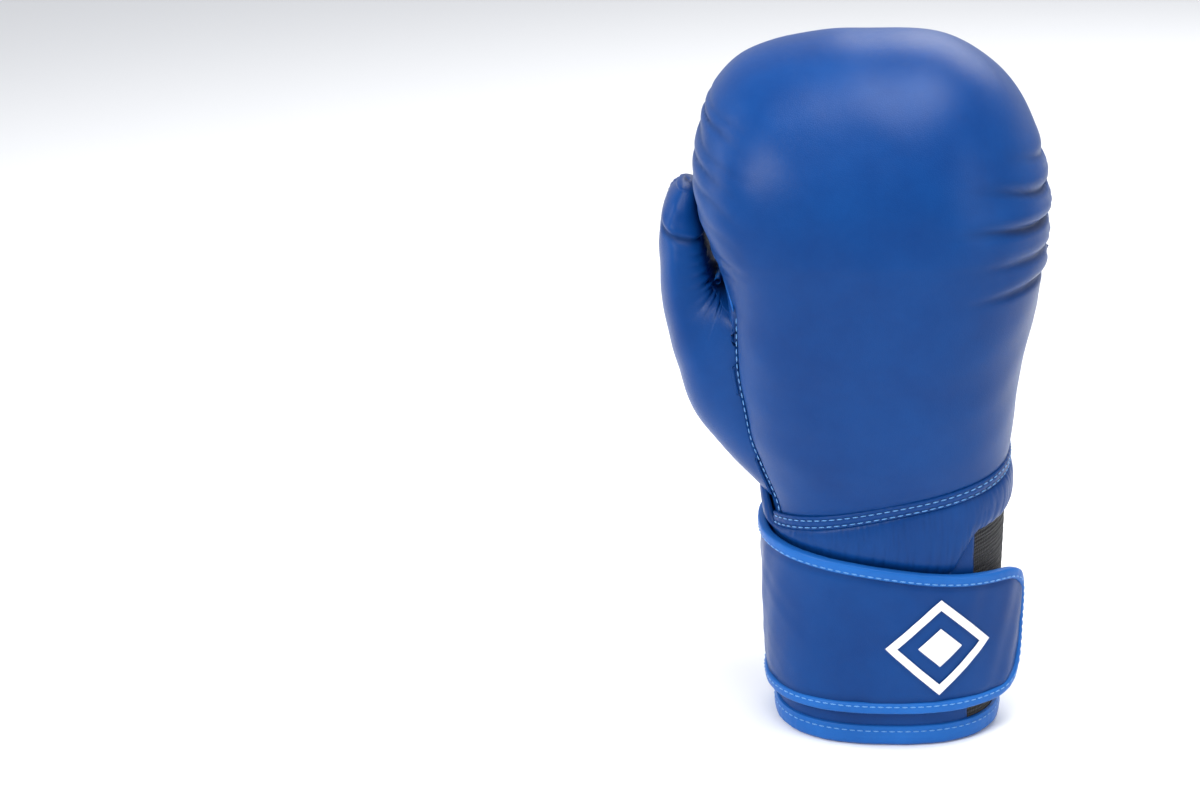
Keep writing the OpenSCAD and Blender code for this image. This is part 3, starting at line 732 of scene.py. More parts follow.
def hand_row(z_of, from_deg, to_deg, lift, count=240):
    """A path on the hand at heights z_of(angle), lifted off its face."""
    a = np.radians(np.linspace(from_deg, to_deg, count))
    z = z_of(a)
    n = hand_normal(z, a)
    return ring(z, a) + n * lift, n


stitch_rows("palm_stitches", [hand_row(lambda a: arch(a, foot, rise) + gap, -32, -148, 0.1)
                              for foot, rise in PALM_SEAMS for gap in (-1.6, 1.6)], "hand")

# ---- Wrist seam and padded roll -------------------------------------------------------------
# The fist's leather is folded under and sewn down with two rows of thread onto a soft padded
# roll that goes round the wrist above the strap.
BAND_TALL = 6.5
ROLL_FROM, ROLL_TO = math.radians(-27), math.radians(197)


def roll_foot(a):
    """Lower edge of the roll: under the strap on the back, and above the elastic at the side."""
    under_strap = ease((a - math.radians(46)) / math.radians(20))
    return (seam_height(a) - 17) * (1 - under_strap) + (strap_top(a) - 5) * under_strap


def strap_top(a):
    return STRAP_LOW + 63 - 8 * np.cos(a)


STRAP_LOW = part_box("tip_edging")[0][2] / MM


def band_shape(u, v):
    a = ROLL_FROM + (math.radians(150) - ROLL_FROM) * u
    z = seam_height(a) - 1.2 + BAND_TALL * v
    crown = 1.1 * np.sqrt(np.clip(1 - np.abs(2 * v - 1) ** 4, 0, 1))
    pull = 0.35 * np.exp(-((v - 0.26) / 0.09) ** 2) + 0.35 * np.exp(-((v - 0.74) / 0.09) ** 2)
    pucker = 0.12 * wobble(a * 60, 41)
    return ring(z, a) + hand_normal(z, a) * (crown - pull + pucker)[:, None], np.clip(pull, 0, 1) * 0.6


band = add_piece("wrist_band", place_grid("wrist_band", 16, 220, band_shape, 0.16, 0.0065, from_axis),
                 blue_leather, "hand", ("wrist_seam_band",), thick=1.2)
stitch_rows("wrist_stitches", [hand_row(lambda a: seam_height(a) - 1.2 + BAND_TALL * k, -21, 149, 1.1)
                               for k in (0.26, 0.74)], "hand")


def wrist_roll_shape(u, v):
    a = ROLL_FROM + (ROLL_TO - ROLL_FROM) * u
    z0, z1 = roll_foot(a) - 1, seam_height(a) - 0.5
    z1 = z1 + 17 * ease((a - 2.62) / 0.25)
    z = z0 + (z1 - z0) * v
    free = ease((z - strap_top(a) + 2) / 7) * (1 - ease((math.radians(56) - a) / 0.3)) \
        + ease((math.radians(56) - a) / 0.3)
    crown = 3.1 * np.sqrt(np.clip(1 - np.abs(2 * v - 1) ** 2.4, 0, 1)) * (0.12 + 0.88 * free)
    crease = (0.5 * (1 - ridges(a * 15 + 0.8 * wobble(a * 9, 51) + v * 0.8, 1.5)) * (1 - v) ** 1.2
              + 0.4 * (1 - ridges(a * 21 - v * 0.7 + wobble(a * 11, 52), 1.5)) * v ** 2)
    soft = 0.5 * wobble(a * 8 + v, 53)
    p = ring(z, a) + hand_normal(z, a) * (crown * (1 + 0.12 * soft) - crease - 0.4)[:, None]
    return p, np.clip(crease / 1.3, 0, 1)


wrist_pad = add_piece("padded_wrist_roll", place_grid("padded_wrist_roll", 26, 280, wrist_roll_shape,
                                                      0.2, 0.022, from_axis),
                      blue_leather, "hand", ("wrist_roll", "wrist_roll_foam"), thick=1.3)

# ---- Cuff -------------------------------------------------------------------------------------
# The cuff is a leather panel over thin foam on the back of the hand, with a ribbed black elastic
# on the little-finger side, a satin lining, and a folded leather strip bound round its rim.
ELASTIC_FROM, ELASTIC_TO = math.radians(-27), math.radians(48)
PANEL_TO = math.radians(192)


def cuff_patch(name, a0, a1, top, look, nodes, lift, rows, cols, thick, wave=0.5):
    """A panel of the cuff from the rim's binding up to heights top(angle)."""
    def shape(u, v):
        a = a0 + (a1 - a0) * u
        z = MESH_FOOT + (top(a) - MESH_FOOT) * v
        soft = wave * (wobble(a * 6 + z / 14, 61) * 0.6 + 0.4 * wobble(z / 7 - a * 3, 62)) * ease(v * 5)
        return ring(z, a) + hand_normal(z, a) * (lift + soft)[:, None], np.clip(-soft, 0, 1) * 0.4
    return add_piece(name, place_grid(name, rows, cols, shape, abs(a1 - a0) * 0.046, 0.085, from_axis),
                     look, "hand", nodes, thick)


back_panel = cuff_patch("cuff_back_leather", ELASTIC_TO, PANEL_TO,
                        lambda a: roll_foot(a) + 1 + 8 * ease((a - 2.5) / 0.3),
                        blue_leather, ("cuff_back_panel", "cuff_foam"), 0.0, 40, 120, 5.0)


def elastic_look():
    """Woven black elastic: close upright ribs with fine cross threads."""
    look = Look("ribbed_black_elastic", Sheen_Weight=0.08, Sheen_Roughness=0.5)
    uv = look.node("ShaderNodeUVMap", {"uv_map": "sheet"})
    down = look.node("ShaderNodeSeparateXYZ", Vector=uv, out=1)
    along = look.node("ShaderNodeSeparateXYZ", Vector=uv, out=0)
    ribs = look.math("SINE", down * (2 * math.pi / 0.0016)) * 0.5 + 0.5
    knots = look.math("SINE", along * (2 * math.pi / 0.0009)) * 0.5 + 0.5
    fuzz = look.node("ShaderNodeTexNoise", Vector=look.place(), Scale=800.0, Detail=3.0)
    tone = look.mix(ribs * 0.7 + fuzz * 0.3, (0.003, 0.003, 0.0035), (0.013, 0.013, 0.015))
    return look.feed(Base_Color=tone, Roughness=fuzz * 0.2 + 0.7,
                     Normal=look.bump(ribs + knots * 0.4 + fuzz * 0.3, 0.8, 0.0006))


black_elastic = elastic_look()


def elastic_shape(u, v):
    a = ELASTIC_FROM + (ELASTIC_TO + 0.02 - ELASTIC_FROM) * u
    z = MESH_FOOT + (roll_foot(a) + 1 - MESH_FOOT) * v
    rib = 0.5 * (1 - ridges(z / 4.2 + 0.25 * wobble(a * 8, 71), 1.4))
    return ring(z, a) + hand_normal(z, a) * (-0.5 - rib)[:, None], rib


elastic = add_piece("cuff_elastic", place_grid("cuff_elastic", 110, 44, elastic_shape, 0.056, 0.088,
                                               from_axis),
                    black_elastic, "hand", ("elastic_gusset",), 1.2)


def lining_shape(u, v):
    a = 2 * math.pi * u
    z = MESH_FOOT + (SEAM + 6 - MESH_FOOT) * v
    folds = u * 15 + z / 30 + 0.5 * wobble(u * 2 * math.pi, 81, 2) * np.sin(np.pi * u)
    crease = 0.9 * (1 - ridges(folds, 1.3)) * ease(v * 4)
    return ring(z, a, 6.6 + 0.2 * np.sin(z / 9)) - hand_normal(z, a) * crease[:, None] * -1, crease * 0.7


cuff_satin = add_piece("cuff_lining_satin", place_grid("cuff_lining_satin", 50, 200, lining_shape, 0.27, 0.1,
                                                       lambda c: -from_axis(c), close=True),
                       black_satin, "hand", ("cuff_lining",))


def hand_lining_shape(u, v):
    a = math.radians(-12) - math.radians(142) * u
    z = SEAM + 4 + (MESH_TOP - 16 - SEAM) * v
    crease = 0.7 * (1 - ridges(u * 9 + z / 30, 1.3))
    return ring(z, a, 7.4 + crease), crease * 0.6


hand_satin = add_piece("hand_lining_satin", place_grid("hand_lining_satin", 30, 90, hand_lining_shape, 0.12,
                                                       0.06,
                                                       lambda c: -from_axis(c)),
                       black_satin, "hand", ("hand_lining",), 0.8)

# The binding: a leather strip folded over the rim, with one row of stitches near its upper edge.
binding_leather = leather_look("binding_leather", (0.010, 0.098, 0.36), (0.015, 0.13, 0.45), 0.36, 0.6)


def folded_strip(name, points, normals, inward, profile, look, body, nodes=(), rows=18,
                 closed=False, pucker=0.12):
    """A strip folded over an edge. The profile gives (inward, outward) steps from the edge, in order."""
    steps = np.array(profile, float)
    t = np.linspace(0, 1, len(steps))
    count = len(points)

    def shape(u, v):
        at = u * (count - 1)
        near = np.stack([np.interp(at, np.arange(count), points[:, k]) for k in range(3)], -1)
        n = np.stack([np.interp(at, np.arange(count), normals[:, k]) for k in range(3)], -1)
        m = np.stack([np.interp(at, np.arange(count), inward[:, k]) for k in range(3)], -1)
        inn = np.interp(v, t, steps[:, 0])
        out = np.interp(v, t, steps[:, 1])
        soft = pucker * wobble(at / count * 140, 91) * np.sin(np.pi * v)
        return near + m * inn[:, None] + n * (out + soft)[:, None]
    mesh = place_grid(name, rows, count * 2, shape, count * 0.002, 0.012, None, closed)
    bm = bmesh.new()
    bm.from_mesh(mesh)
    bmesh.ops.recalc_face_normals(bm, faces=bm.faces)
    bm.to_mesh(mesh)
    bm.free()
    made = add_piece(name, mesh, look, body, nodes)
    smooth = made.modifiers.new("smooth", "SUBSURF")
    smooth.levels = smooth.render_levels = 1
    return made


def round_profile(width, proud, back, tuck=0.0):
    """Profile of a folded strip: a flat crown in front, a round fold, and the same behind."""
    return [(width + 0.2, -0.4 + tuck), (width, proud * 0.75), (width * 0.8, proud),
            (width * 0.35, proud * 1.05),
            (0.1, proud * 0.85), (-0.45, proud * 0.25), (-0.5, -back * 0.4), (-0.3, -back * 0.85),
            (width * 0.4, -back), (width, -back * 0.98), (width + 0.2, -back * 0.7),
            (width + 0.2, -0.4 + tuck)]


angles = np.linspace(0, 2 * math.pi, 241)
rim_points = ring(0.6 + 0 * angles, angles)
rim_normals = hand_normal(8 + 0 * angles, angles)
rim_up = np.tile([0.0, 0.0, 1.0], (len(angles), 1))
folded_strip("rim_binding", rim_points, rim_normals, rim_up,
             [(8.6, -0.2), (8.4, 1.0), (6.5, 1.5), (3.5, 1.6), (1.0, 1.3), (-0.4, 0.0), (-0.6, -3.5),
              (-0.4, -7.0),
              (1.0, -9.0), (4.0, -9.4), (7.0, -9.3), (8.4, -8.9), (8.6, -8.0)],
             binding_leather, "hand", ("cuff_binding",), rows=36, closed=True)
stitch_rows("rim_stitches", [hand_row(lambda a: 7.0 + 0 * a, 0, 360, 1.5, 400)], "hand")

# Slit binding: the strip round the top of the wrist slit, on the palm's thumb side.
slit_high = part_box("slit_binding")[1][2] / MM
slit_turn = np.linspace(-0.6, math.pi + 0.6, 60)
slit_a = np.radians(199.5) + np.radians(6.5) * np.cos(slit_turn)
slit_z = slit_high - 14 + 13 * np.sin(slit_turn)
slit_n = hand_normal(slit_z, slit_a)
slit_p = ring(slit_z, slit_a) + slit_n * 0.6
slit_mid = ring(np.full(60, slit_high - 14.0), np.full(60, math.radians(199.5)))
slit_out = slit_p - slit_mid
slit_out /= np.linalg.norm(slit_out, axis=1, keepdims=True)
folded_strip("slit_edge", slit_p, slit_n, slit_out, round_profile(3.2, 1.3, 1.2), binding_leather, "hand",
             ("slit_binding",), rows=14)

# ---- Thumb ------------------------------------------------------------------------------------
# The thumb is a flattened padded pocket of two leather panels: the outer one carries on from the
# fist's leather, and the inner, palm-side one has two punched vents. They meet in a padded roll.
THUMB_X = -62.2
INNER_RAIL = [(10, -6), (4, -4), (-1, -1.5), (-3, 0), (-6, 3), (-8, 10), (-10.4, 20), (-12.6, 29),
              (-13.8, 36)]
OUTER_RAIL = [(19, -97), (-1, -75), (-17, -55), (-24, -35), (-29, -12), (-30.5, 10), (-29.8, 25),
              (-27, 34), (-23.0, 38.5)]
THUMB_HALF = [23, 24.5, 25.5, 26, 26, 25.5, 23.5, 20, 14]
THUMB_MIDDLE = [-8, -5, -1, 2.5, 6, 8, 9.5, 10.5, 11]
THUMB_CAP = 0.94


def smooth_run(values, t):
    """Catmull-Rom curve through evenly spaced values."""
    p = np.array(values, float)
    p = np.concatenate([[2 * p[0] - p[1]], p, [2 * p[-1] - p[-2]]])
    s = np.clip(t, 0, 1) * (len(values) - 1)
    i = np.minimum(s.astype(int), len(values) - 2)
    f = s - i
    a, b, c, d = p[i], p[i + 1], p[i + 2], p[i + 3]
    return 0.5 * (2 * b + (c - a) * f + (2 * a - 5 * b + 4 * c - d) * f ** 2
                  + (3 * b - a - 3 * c + d) * f ** 3)


def thumb_point(v, beta, off=0.0):
    """Point of the thumb at v along it and beta round it: 0 is away from the fist, 90 the palm side."""
    t = np.clip(v / THUMB_CAP, 0, 1)
    cap = np.clip((v - THUMB_CAP) / (1 - THUMB_CAP), 0, 1)
    ix, iz = (smooth_run([q[k] for q in INNER_RAIL], t) for k in (0, 1))
    ox, oz = (smooth_run([q[k] for q in OUTER_RAIL], t) for k in (0, 1))
    mx, mz, dx, dz = (ix + ox) / 2, (iz + oz) / 2, (ox - ix) / 2, (oz - iz) / 2
    half = np.maximum(smooth_run(THUMB_HALF, t) - off, 0.3)
    length = np.hypot(dx, dz)
    c, s = np.cos(beta), np.sin(beta)
    front = np.exp(-(((beta + 2.2 + math.pi) % (2 * math.pi) - math.pi) / 0.75) ** 2)
    bend = 0.85 - 0.32 * front
    c, s = np.sign(c) * np.abs(c) ** bend, np.sign(s) * np.abs(s) ** bend
    shrink = np.sqrt(np.clip(1 - cap ** 2, 0, 1))
    share = np.maximum(length - off, 0.3) / length * c * shrink
    tip = 2.5 * cap
    z = CROTCH + mz + dz * share + tip
    lean = 0.13 * np.clip(z - 138, -45, 50) * ease(1 - t / 0.5) * ease(0.5 - s)
    return np.stack([THUMB_X + mx + dx * share - 0.2 * tip,
                     smooth_run(THUMB_MIDDLE, t) + half * s * shrink - lean, z], -1)


PANEL_SEAM = math.radians(58)


def thumb_puckers(v, beta):
    """Gathers at the crotch, round the tip and along the seam roll."""
    tip = ease((v - 0.62) / 0.2)
    seam = np.exp(-((beta - PANEL_SEAM) / 0.5) ** 2)
    press = 1.0 * seam * (1 - ridges(v * 21 + 0.5 * wobble(v * 22, 101), 1.6)) * (0.5 + 0.5 * tip)
    crotch = np.exp(-((beta + 2.6) / 0.55) ** 2) * ease((v - 0.22) / 0.1) * ease((0.8 - v) / 0.2)
    press += 1.5 * crotch * (1 - ridges(v * 19 + 0.4 * wobble(v * 17, 102) + 0.6 * beta, 1.8))
    # one deep crease across the pocket, under the ball of the thumb's tip
    line = v - 0.70 - 0.012 * np.cos(beta * 2)
    face = ease((beta + 3.1) / 0.5) * ease((-0.1 - beta) / 0.8)
    press += 1.3 * face * np.exp(-(line / 0.014) ** 2) - 0.8 * face * np.exp(-((line - 0.035) / 0.03) ** 2)
    bumps = np.exp(-((beta + 2.35) / 0.5) ** 2) * ease((v - 0.42) / 0.06) * ease((0.69 - v) / 0.03)
    press -= 0.9 * bumps * np.sin(v * 75) ** 2
    return press * ease((1 - v) * 14)


def thumb_outer(u, v):
    beta = math.radians(-150) + (PANEL_SEAM + math.radians(150)) * u
    vv = 0.02 + 0.98 * v
    p = thumb_point(vv, beta)
    q = thumb_point(vv, beta, 2.0)
    n = (p - q) / np.maximum(np.linalg.norm(p - q, axis=1, keepdims=True), 1e-6)
    roll = 2.2 * np.exp(-((beta - PANEL_SEAM + 0.30) / 0.22) ** 2) * ease(v * 6) * ease((1 - v) * 8)
    press = thumb_puckers(vv, beta)
    soft = 0.5 * (wobble(p[:, 2] / 13 + beta, 103) + 0.6 * wobble(p[:, 1] / 11, 104))
    edge = 1.2 * ease(1 - (PANEL_SEAM - beta) / 0.06) * ease((1 - vv) * 14)
    lift = roll + soft * np.clip((1 - vv) * 12, 0, 1) - press - edge
    return p + n * lift[:, None], np.clip(press / 1.6, 0, 1)


def thumb_inner(u, v):
    beta = PANEL_SEAM + (math.radians(222) - PANEL_SEAM) * u
    vv = 0.05 + 0.95 * v
    p = thumb_point(vv, beta)
    q = thumb_point(vv, beta, 2.0)
    n = (p - q) / np.maximum(np.linalg.norm(p - q, axis=1, keepdims=True), 1e-6)
    press = 0.6 * thumb_puckers(vv, beta) + 1.1 * ease(1 - (beta - PANEL_SEAM) / 0.08) * ease((1 - vv) * 14)
    soft = 0.5 * wobble(p[:, 2] / 17 + beta, 105)
    dents = sum(np.exp(-(((p[:, 2] - z) ** 2 + (p[:, 0] - x) ** 2) / 5.0)) for x, z in THUMB_VENTS)
    lift = soft * np.clip((1 - vv) * 12, 0, 1) - press - 0.6 * dents * (np.sin(beta) > 0.3)
    return p + n * lift[:, None], \
        np.clip(press / 1.6, 0, 1)


THUMB_VENTS = ((-79.5, 168.0), (-81.5, 203.0))
thumb_core = np.array([THUMB_X - 14, 6.0, 0.0])


def from_thumb(c):
    away = c - np.stack([thumb_core[0] + 0 * c[:, 0] - (c[:, 2] - 150) * 0.1, thumb_core[1] + 0 * c[:, 0],
                         c[:, 2]], -1)
    return away


thumb_outside = add_piece("thumb_outer_leather", place_grid("thumb_outer_leather", 150, 90, thumb_outer,
                                                            0.085, 0.14,
                                                            from_thumb, close=True),
                          blue_leather, "hand", ("thumb_shell",), thick=SHELL_THICK)
thumb_inside = add_piece("thumb_inner_leather", place_grid("thumb_inner_leather", 130, 70, thumb_inner,
                                                           0.07, 0.13,
                                                           from_thumb, close=True),
                         blue_leather, "hand", ("thumb_inner_panel",), thick=SHELL_THICK)
THUMB_LAYERS = (("thumb_padding", "thumb_foam", 2.2, 5.0, soft_foam, "foam", 0.82),
                ("thumb_pocket", "thumb_lining", 8.6, 1.0, black_satin, "lining", 0.6))
for name, node, off, thick, look, slot, v1 in THUMB_LAYERS:
    layer = place_grid(name, 40, 48, lambda u, v: thumb_point(0.1 + (v1 - 0.1) * v, 2 * math.pi * u, off),
                       0.12, 0.1, from_thumb, close=True)
    add_piece(name, layer, look, "hand", (node,), thick)

# Thumb seams: the joint with the fist, and the joint of the two panels.
seam_z = np.linspace(CROTCH - 4, SEAM - 5, 160)
seam_a = np.full(160, THUMB_SEAM - math.radians(2.4))
seam_n = hand_normal(seam_z, seam_a)
v_run = np.linspace(0.08, 0.93, 240)
roll_seam = thumb_point(v_run, np.full(240, PANEL_SEAM + 0.16), -0.2)
roll_seam_n = roll_seam - thumb_point(v_run, np.full(240, PANEL_SEAM + 0.16), 2.0)
stitch_rows("thumb_stitches", [(ring(seam_z, seam_a) + seam_n * 0.25, seam_n), (roll_seam, roll_seam_n)],
            "hand")


VENT_RADIUS, VENT_BEAD = 1.9, 0.5


def vent_shape(u, v):
    """A punched vent's rim: a small ring, v round its tube and u round the hole."""
    turn, tube = 2 * math.pi * u, 2 * math.pi * v
    r = VENT_RADIUS + VENT_BEAD * np.cos(tube)
    return np.stack([r * np.cos(turn), VENT_BEAD * np.sin(tube), r * np.sin(turn)], -1)


for k, (x, z) in enumerate(THUMB_VENTS):
    v_grid, b_grid = np.meshgrid(np.linspace(0.2, 0.9, 200), np.radians(np.linspace(70, 130, 80)))
    cloud = thumb_point(v_grid.ravel(), b_grid.ravel())
    spot = cloud[np.argmin((cloud[:, 0] - x) ** 2 + (cloud[:, 2] - z) ** 2)]
    eyelet = place_grid(f"thumb_vent_{k}", 8, 24,
                        lambda u, v: vent_shape(u, v) + spot + np.array([0, -0.2, 0]),
                        0.01, 0.003, None, close=True)
    add_piece(f"thumb_vent_{k}", eyelet, blue_leather, "hand", ())

# Piping: the bound edge of the fist's leather, beside the gap.
gap_t = np.linspace(0, 1, 50)
piping_a = np.radians(147 + 5 * gap_t)
piping_z = CROTCH - 3 + 20 * gap_t
piping_run = ring(piping_z, piping_a) - hand_normal(piping_z, piping_a) * (0.1 + 0.9 * gap_t[:, None] ** 2)


def piping_shape(u, v):
    at = u * 49
    spot = np.stack([np.interp(at, np.arange(50), piping_run[:, k]) for k in range(3)], -1)
    r = 0.8 * np.sin(np.pi * np.clip(u, 0.02, 0.98)) ** 0.4
    return spot + np.stack([r * np.cos(2 * math.pi * v), r * np.sin(2 * math.pi * v), 0 * u], -1)


def from_piping(c):
    """Direction out of the piping's nearest point."""
    return c - piping_run[np.argmin(np.abs(c[:, 2:3] - piping_z[None]), 1)]


add_piece("fist_gap_piping", place_grid("fist_gap_piping", 10, 60, piping_shape, 0.03, 0.005,
                                        from_piping,
                                        close=True), binding_leather, "hand", ())


ROOT_DROP = 16  # how far the strips reach below the wrist seam


def root_strip(name, from_deg, to_deg, top, wide):
    """A strip of the hand's leather that runs in under the thumb's root."""
    def shape(u, v):
        a = math.radians(from_deg) + math.radians(to_deg - from_deg) * u
        z = SEAM - ROOT_DROP + (top - SEAM + ROOT_DROP) * v
        return ring(z, a, 1.7)
    tall = (top - SEAM + ROOT_DROP) * MM
    made = add_piece(name, place_grid(name, 40, 12, shape, wide, tall, from_axis), blue_leather, "hand", (),
                     thick=1.2)


root_strip("thumb_root_back", 140, 160, CROTCH + 8, 0.0224)
root_strip("thumb_root_palm", 184, 208, CROTCH - 18, 0.0118)

# Gusset: a narrow leather strip sewn between the thumb's root and the palm mesh.


GUSSET_FROM, GUSSET_TURN = math.radians(194), math.radians(14.5)


def gusset_shape(u, v):
    a = GUSSET_FROM + GUSSET_TURN * u
    z = SEAM - 3 + (CROTCH - 26 - SEAM + 3) * v
    crown = 0.9 * np.sin(np.pi * u) ** 0.6
    return ring(z, a) + hand_normal(z, a) * (crown + 0.25 * wobble(z / 9, 111) - 0.3)[:, None]


gusset = add_piece("thumb_gusset_strip", place_grid("thumb_gusset_strip", 60, 12, gusset_shape, 0.014,
                                                    0.066, from_axis),
                   blue_leather, "hand", ("thumb_gusset",), thick=1.2)
stitch_rows("gusset_stitches", [(lambda z, a: (ring(z, a) + hand_normal(z, a) * 0.6, hand_normal(z, a)))(
    np.linspace(SEAM + 2, CROTCH - 30, 100), np.full(100, math.radians(206)))], "hand")


def web_shape(u, v):
    """The short web that ties the thumb's tip to the fist: u across it, v round its section."""
    low_c, high_c = (np.array(p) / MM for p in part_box("thumb_tether"))
    mid, half = (low_c + high_c) / 2, (high_c - low_c) / 2
    c, s = squircle(2 * math.pi * v, 4.0)
    reach = -half[0] - 1.2 + (2 * half[0] + 2.4) * u
    return mid + np.stack([reach, half[1] * c, half[2] * s * (1 - 0.2 * np.sin(np.pi * u))], -1)


tether = place_grid("thumb_web", 28, 8, web_shape, 0.004, 0.03, lambda c: c - c.mean(0), close=True)
add_piece("thumb_web", tether, blue_leather, "hand", ("thumb_tether",))


def crotch_shape(u, v):
    """A soft piped edge across the foot of the gap between the thumb and the fist."""
    low_c, high_c = (np.array(p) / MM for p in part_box("crotch_binding"))
    y = low_c[1] + (high_c[1] - low_c[1]) * u
    turn = 2 * math.pi * v
    r = 1.25 + 0.12 * np.sin(u * 40)
    return np.stack([(low_c[0] + high_c[0]) / 2 + r * np.cos(turn), y,
                     (low_c[2] + high_c[2]) / 2 - 0.3 + r * np.sin(turn)], -1)


crotch = place_grid("crotch_piping", 12, 40, crotch_shape, 0.008, 0.042,
                    lambda c: c - c.mean(0) * [1, 0, 1] - c * [0, 1, 0],
                    close=True)
add_piece("crotch_piping", crotch, binding_leather, "hand", ("crotch_binding",))

# ---- Wrist strap --------------------------------------------------------------------------------
# A wide leather strap is sewn to the palm mesh, wraps round the thumb side of the cuff and closes
# across the back with hook and loop. Its edges are bound, and its free end stands a little proud.
STRAP_TALL = 62.0
STRAP_OUT = 4.4
STRAP_BACK = 2.0
ANCHOR_END = math.radians(224)
STRAP_SPLIT = math.radians(181)
STRAP_END = math.radians(9.4)
END_SPAN = math.radians(25)


def strap_pull(a):
    t = np.clip((a - STRAP_END) / END_SPAN, 0, 1)
    return 19 * (1 - np.sqrt(np.clip(1 - (1 - t) ** 2.2, 0, 1)))


def strap_flare(a):
    return 4.0 * ease((math.radians(48) - a) / math.radians(38))


def strap_low(a):
    return STRAP_LOW + strap_pull(a)


def strap_high(a):
    return strap_top(a) - strap_pull(a)


def strap_face(z, a, lift):
    """Point of the strap: lift millimetres off the cuff, more at the flared free end."""
    sewn = 1 - 0.7 * ease((a - math.radians(213)) / math.radians(9))
    return ring(z, a, -(lift * sewn + strap_flare(a)))


STRAP_FOLD = math.radians(172)  # where the strap turns the thumb-side edge


def strap_panel(name, a0, a1, cols, nodes, back_nodes):
    def face(u, v):
        a = a0 + (a1 - a0) * u
        z = strap_low(a) + 1.5 + (strap_high(a) - strap_low(a) - 3) * v
        crown = 0.5 * np.sin(np.pi * v) ** 0.5
        soft = 0.32 * wobble(a * 7 + z / 21, 121) + 0.2 * wobble(z / 9 - a * 4, 122)
        near_edge = np.minimum(v, 1 - v) * 62
        pinch = 0.5 * np.exp(-((near_edge - 3.2) / 1.6) ** 2)
        bend = 0.5 * np.exp(-(((a - STRAP_FOLD) / 0.16) ** 2)) * np.sin(z / 3.1 + a * 5)
        lifted = crown + soft - pinch + 0.3 * bend
        return (strap_face(z, a, STRAP_OUT) + hand_normal(z, a) * lifted[:, None],
                np.clip(pinch * 0.5, 0, 1))

    def lining(u, v):
        a = a0 + (a1 - a0) * u
        z = strap_low(a) + 2.5 + (strap_high(a) - strap_low(a) - 5) * v
        return strap_face(z, a, STRAP_BACK)
    panel = add_piece(name, place_grid(name, 50, cols, face, abs(a1 - a0) * 0.05, 0.062, from_axis),
                      blue_leather, None, nodes, 1.5)
    backing = add_piece(name + "_backing", place_grid(name + "_backing", 20, cols, lining,
                                                      abs(a1 - a0) * 0.05, 0.058,
                                                      from_axis), black_satin, None, back_nodes,
                                                      0.8,
                        inward=False)
    return panel, backing


def edge_run(a0, a1, with_end):
    """The strap's edge as points, outward normals and inward directions, in one run."""
    if with_end:
        s = np.concatenate([np.linspace(0, 0.86, 150), np.linspace(0.86, 1, 70)[1:]])
        top_a = a0 + (a1 - a0) * s
        ends = np.linspace(strap_high(np.array([a1]))[0], strap_low(np.array([a1]))[0], 24)[1:-1]
        a = np.concatenate([top_a, np.full(len(ends), a1), top_a[::-1]])
        z = np.concatenate([strap_high(top_a), ends, strap_low(top_a)[::-1]])
    else:
        a, z = a0, a1
    points = strap_face(z, a, STRAP_OUT)
    normals = hand_normal(z, a)
    gaps = np.linalg.norm(np.diff(points, axis=0), axis=1)
    s = np.concatenate([[0], np.cumsum(gaps)])
    keep = np.concatenate([[True], gaps > 1e-3])
    at = np.linspace(0, s[-1], int(s[-1] / 1.6))
    points = np.stack([np.interp(at, s[keep], points[keep, k]) for k in range(3)], -1)
    normals = np.stack([np.interp(at, s[keep], normals[keep, k]) for k in range(3)], -1)
    kernel = np.exp(-(np.arange(-4, 5) / 2.0) ** 2 / 2)
    kernel /= kernel.sum()
    if with_end:
        points = np.stack([np.convolve(np.pad(points[:, k], 4, "reflect", reflect_type="odd"), kernel,
                                       "valid")
                           for k in range(3)], -1)
    t = np.gradient(points, axis=0)
    t /= np.linalg.norm(t, axis=1, keepdims=True)
    inward = np.cross(t, normals)
    inward /= np.linalg.norm(inward, axis=1, keepdims=True)
    return points, normals, inward


def edge_binding(name, runs, nodes):
    """Folded strips along one or more runs of the strap's edge, with their stitches."""
    strips, rows = [], []
    for k, (points, normals, inward) in enumerate(runs):
        centre_z = STRAP_LOW + STRAP_TALL / 2
        middle = len(points) // 2
        if (inward[middle, 2]) * (centre_z - points[middle, 2]) < 0 and abs(inward[middle, 2]) > 0.5:
            inward = -inward
        strips.append(folded_strip(f"{name}_{k}", points, normals, inward, round_profile(4.2, 1.1, 3.2),
                                   binding_leather, None, nodes if k == 0 else (), rows=16, pucker=0.1))
        rows.append((points + inward * 3.1 + normals * 1.15, normals))
    threads = stitch_rows(name + "_stitches", rows, None)
    return strips + [threads]


def strap_edge_line(a0, a1, upper):
    a = np.linspace(a0, a1, 120)
    z = strap_high(a) if upper else strap_low(a)
    return edge_run(a, z, False)


anchor_z = np.linspace(STRAP_LOW + 2, STRAP_LOW + 67, 60)
anchor_rows = []
for back_off in (2.0, 4.5):
    anchor_a = np.full(60, ANCHOR_END - math.radians(back_off))
    anchor_n = hand_normal(anchor_z, anchor_a)
    anchor_rows.append((strap_face(anchor_z, anchor_a, STRAP_OUT) + anchor_n * 0.5, anchor_n))
stitch_rows("anchor_stitches", anchor_rows, "hand")
root_panel, root_backing = strap_panel("strap_root_leather", ANCHOR_END, STRAP_SPLIT, 50,
                                       ("strap_anchor", "strap_leather_panel"),
                                       ("strap_backing",))
root_edge = edge_binding("strap_root_edge", [strap_edge_line(ANCHOR_END, STRAP_SPLIT, True),
                                             strap_edge_line(ANCHOR_END, STRAP_SPLIT, False)],
                         ("anchor_edging", "strap_edging"))
tip_panel, tip_backing = strap_panel("strap_tip_leather", STRAP_SPLIT, STRAP_END, 190,
                                     ("tip_leather_panel",), ("tip_backing",))
tip_points, tip_normals, tip_inward = edge_run(STRAP_SPLIT, STRAP_END, True)
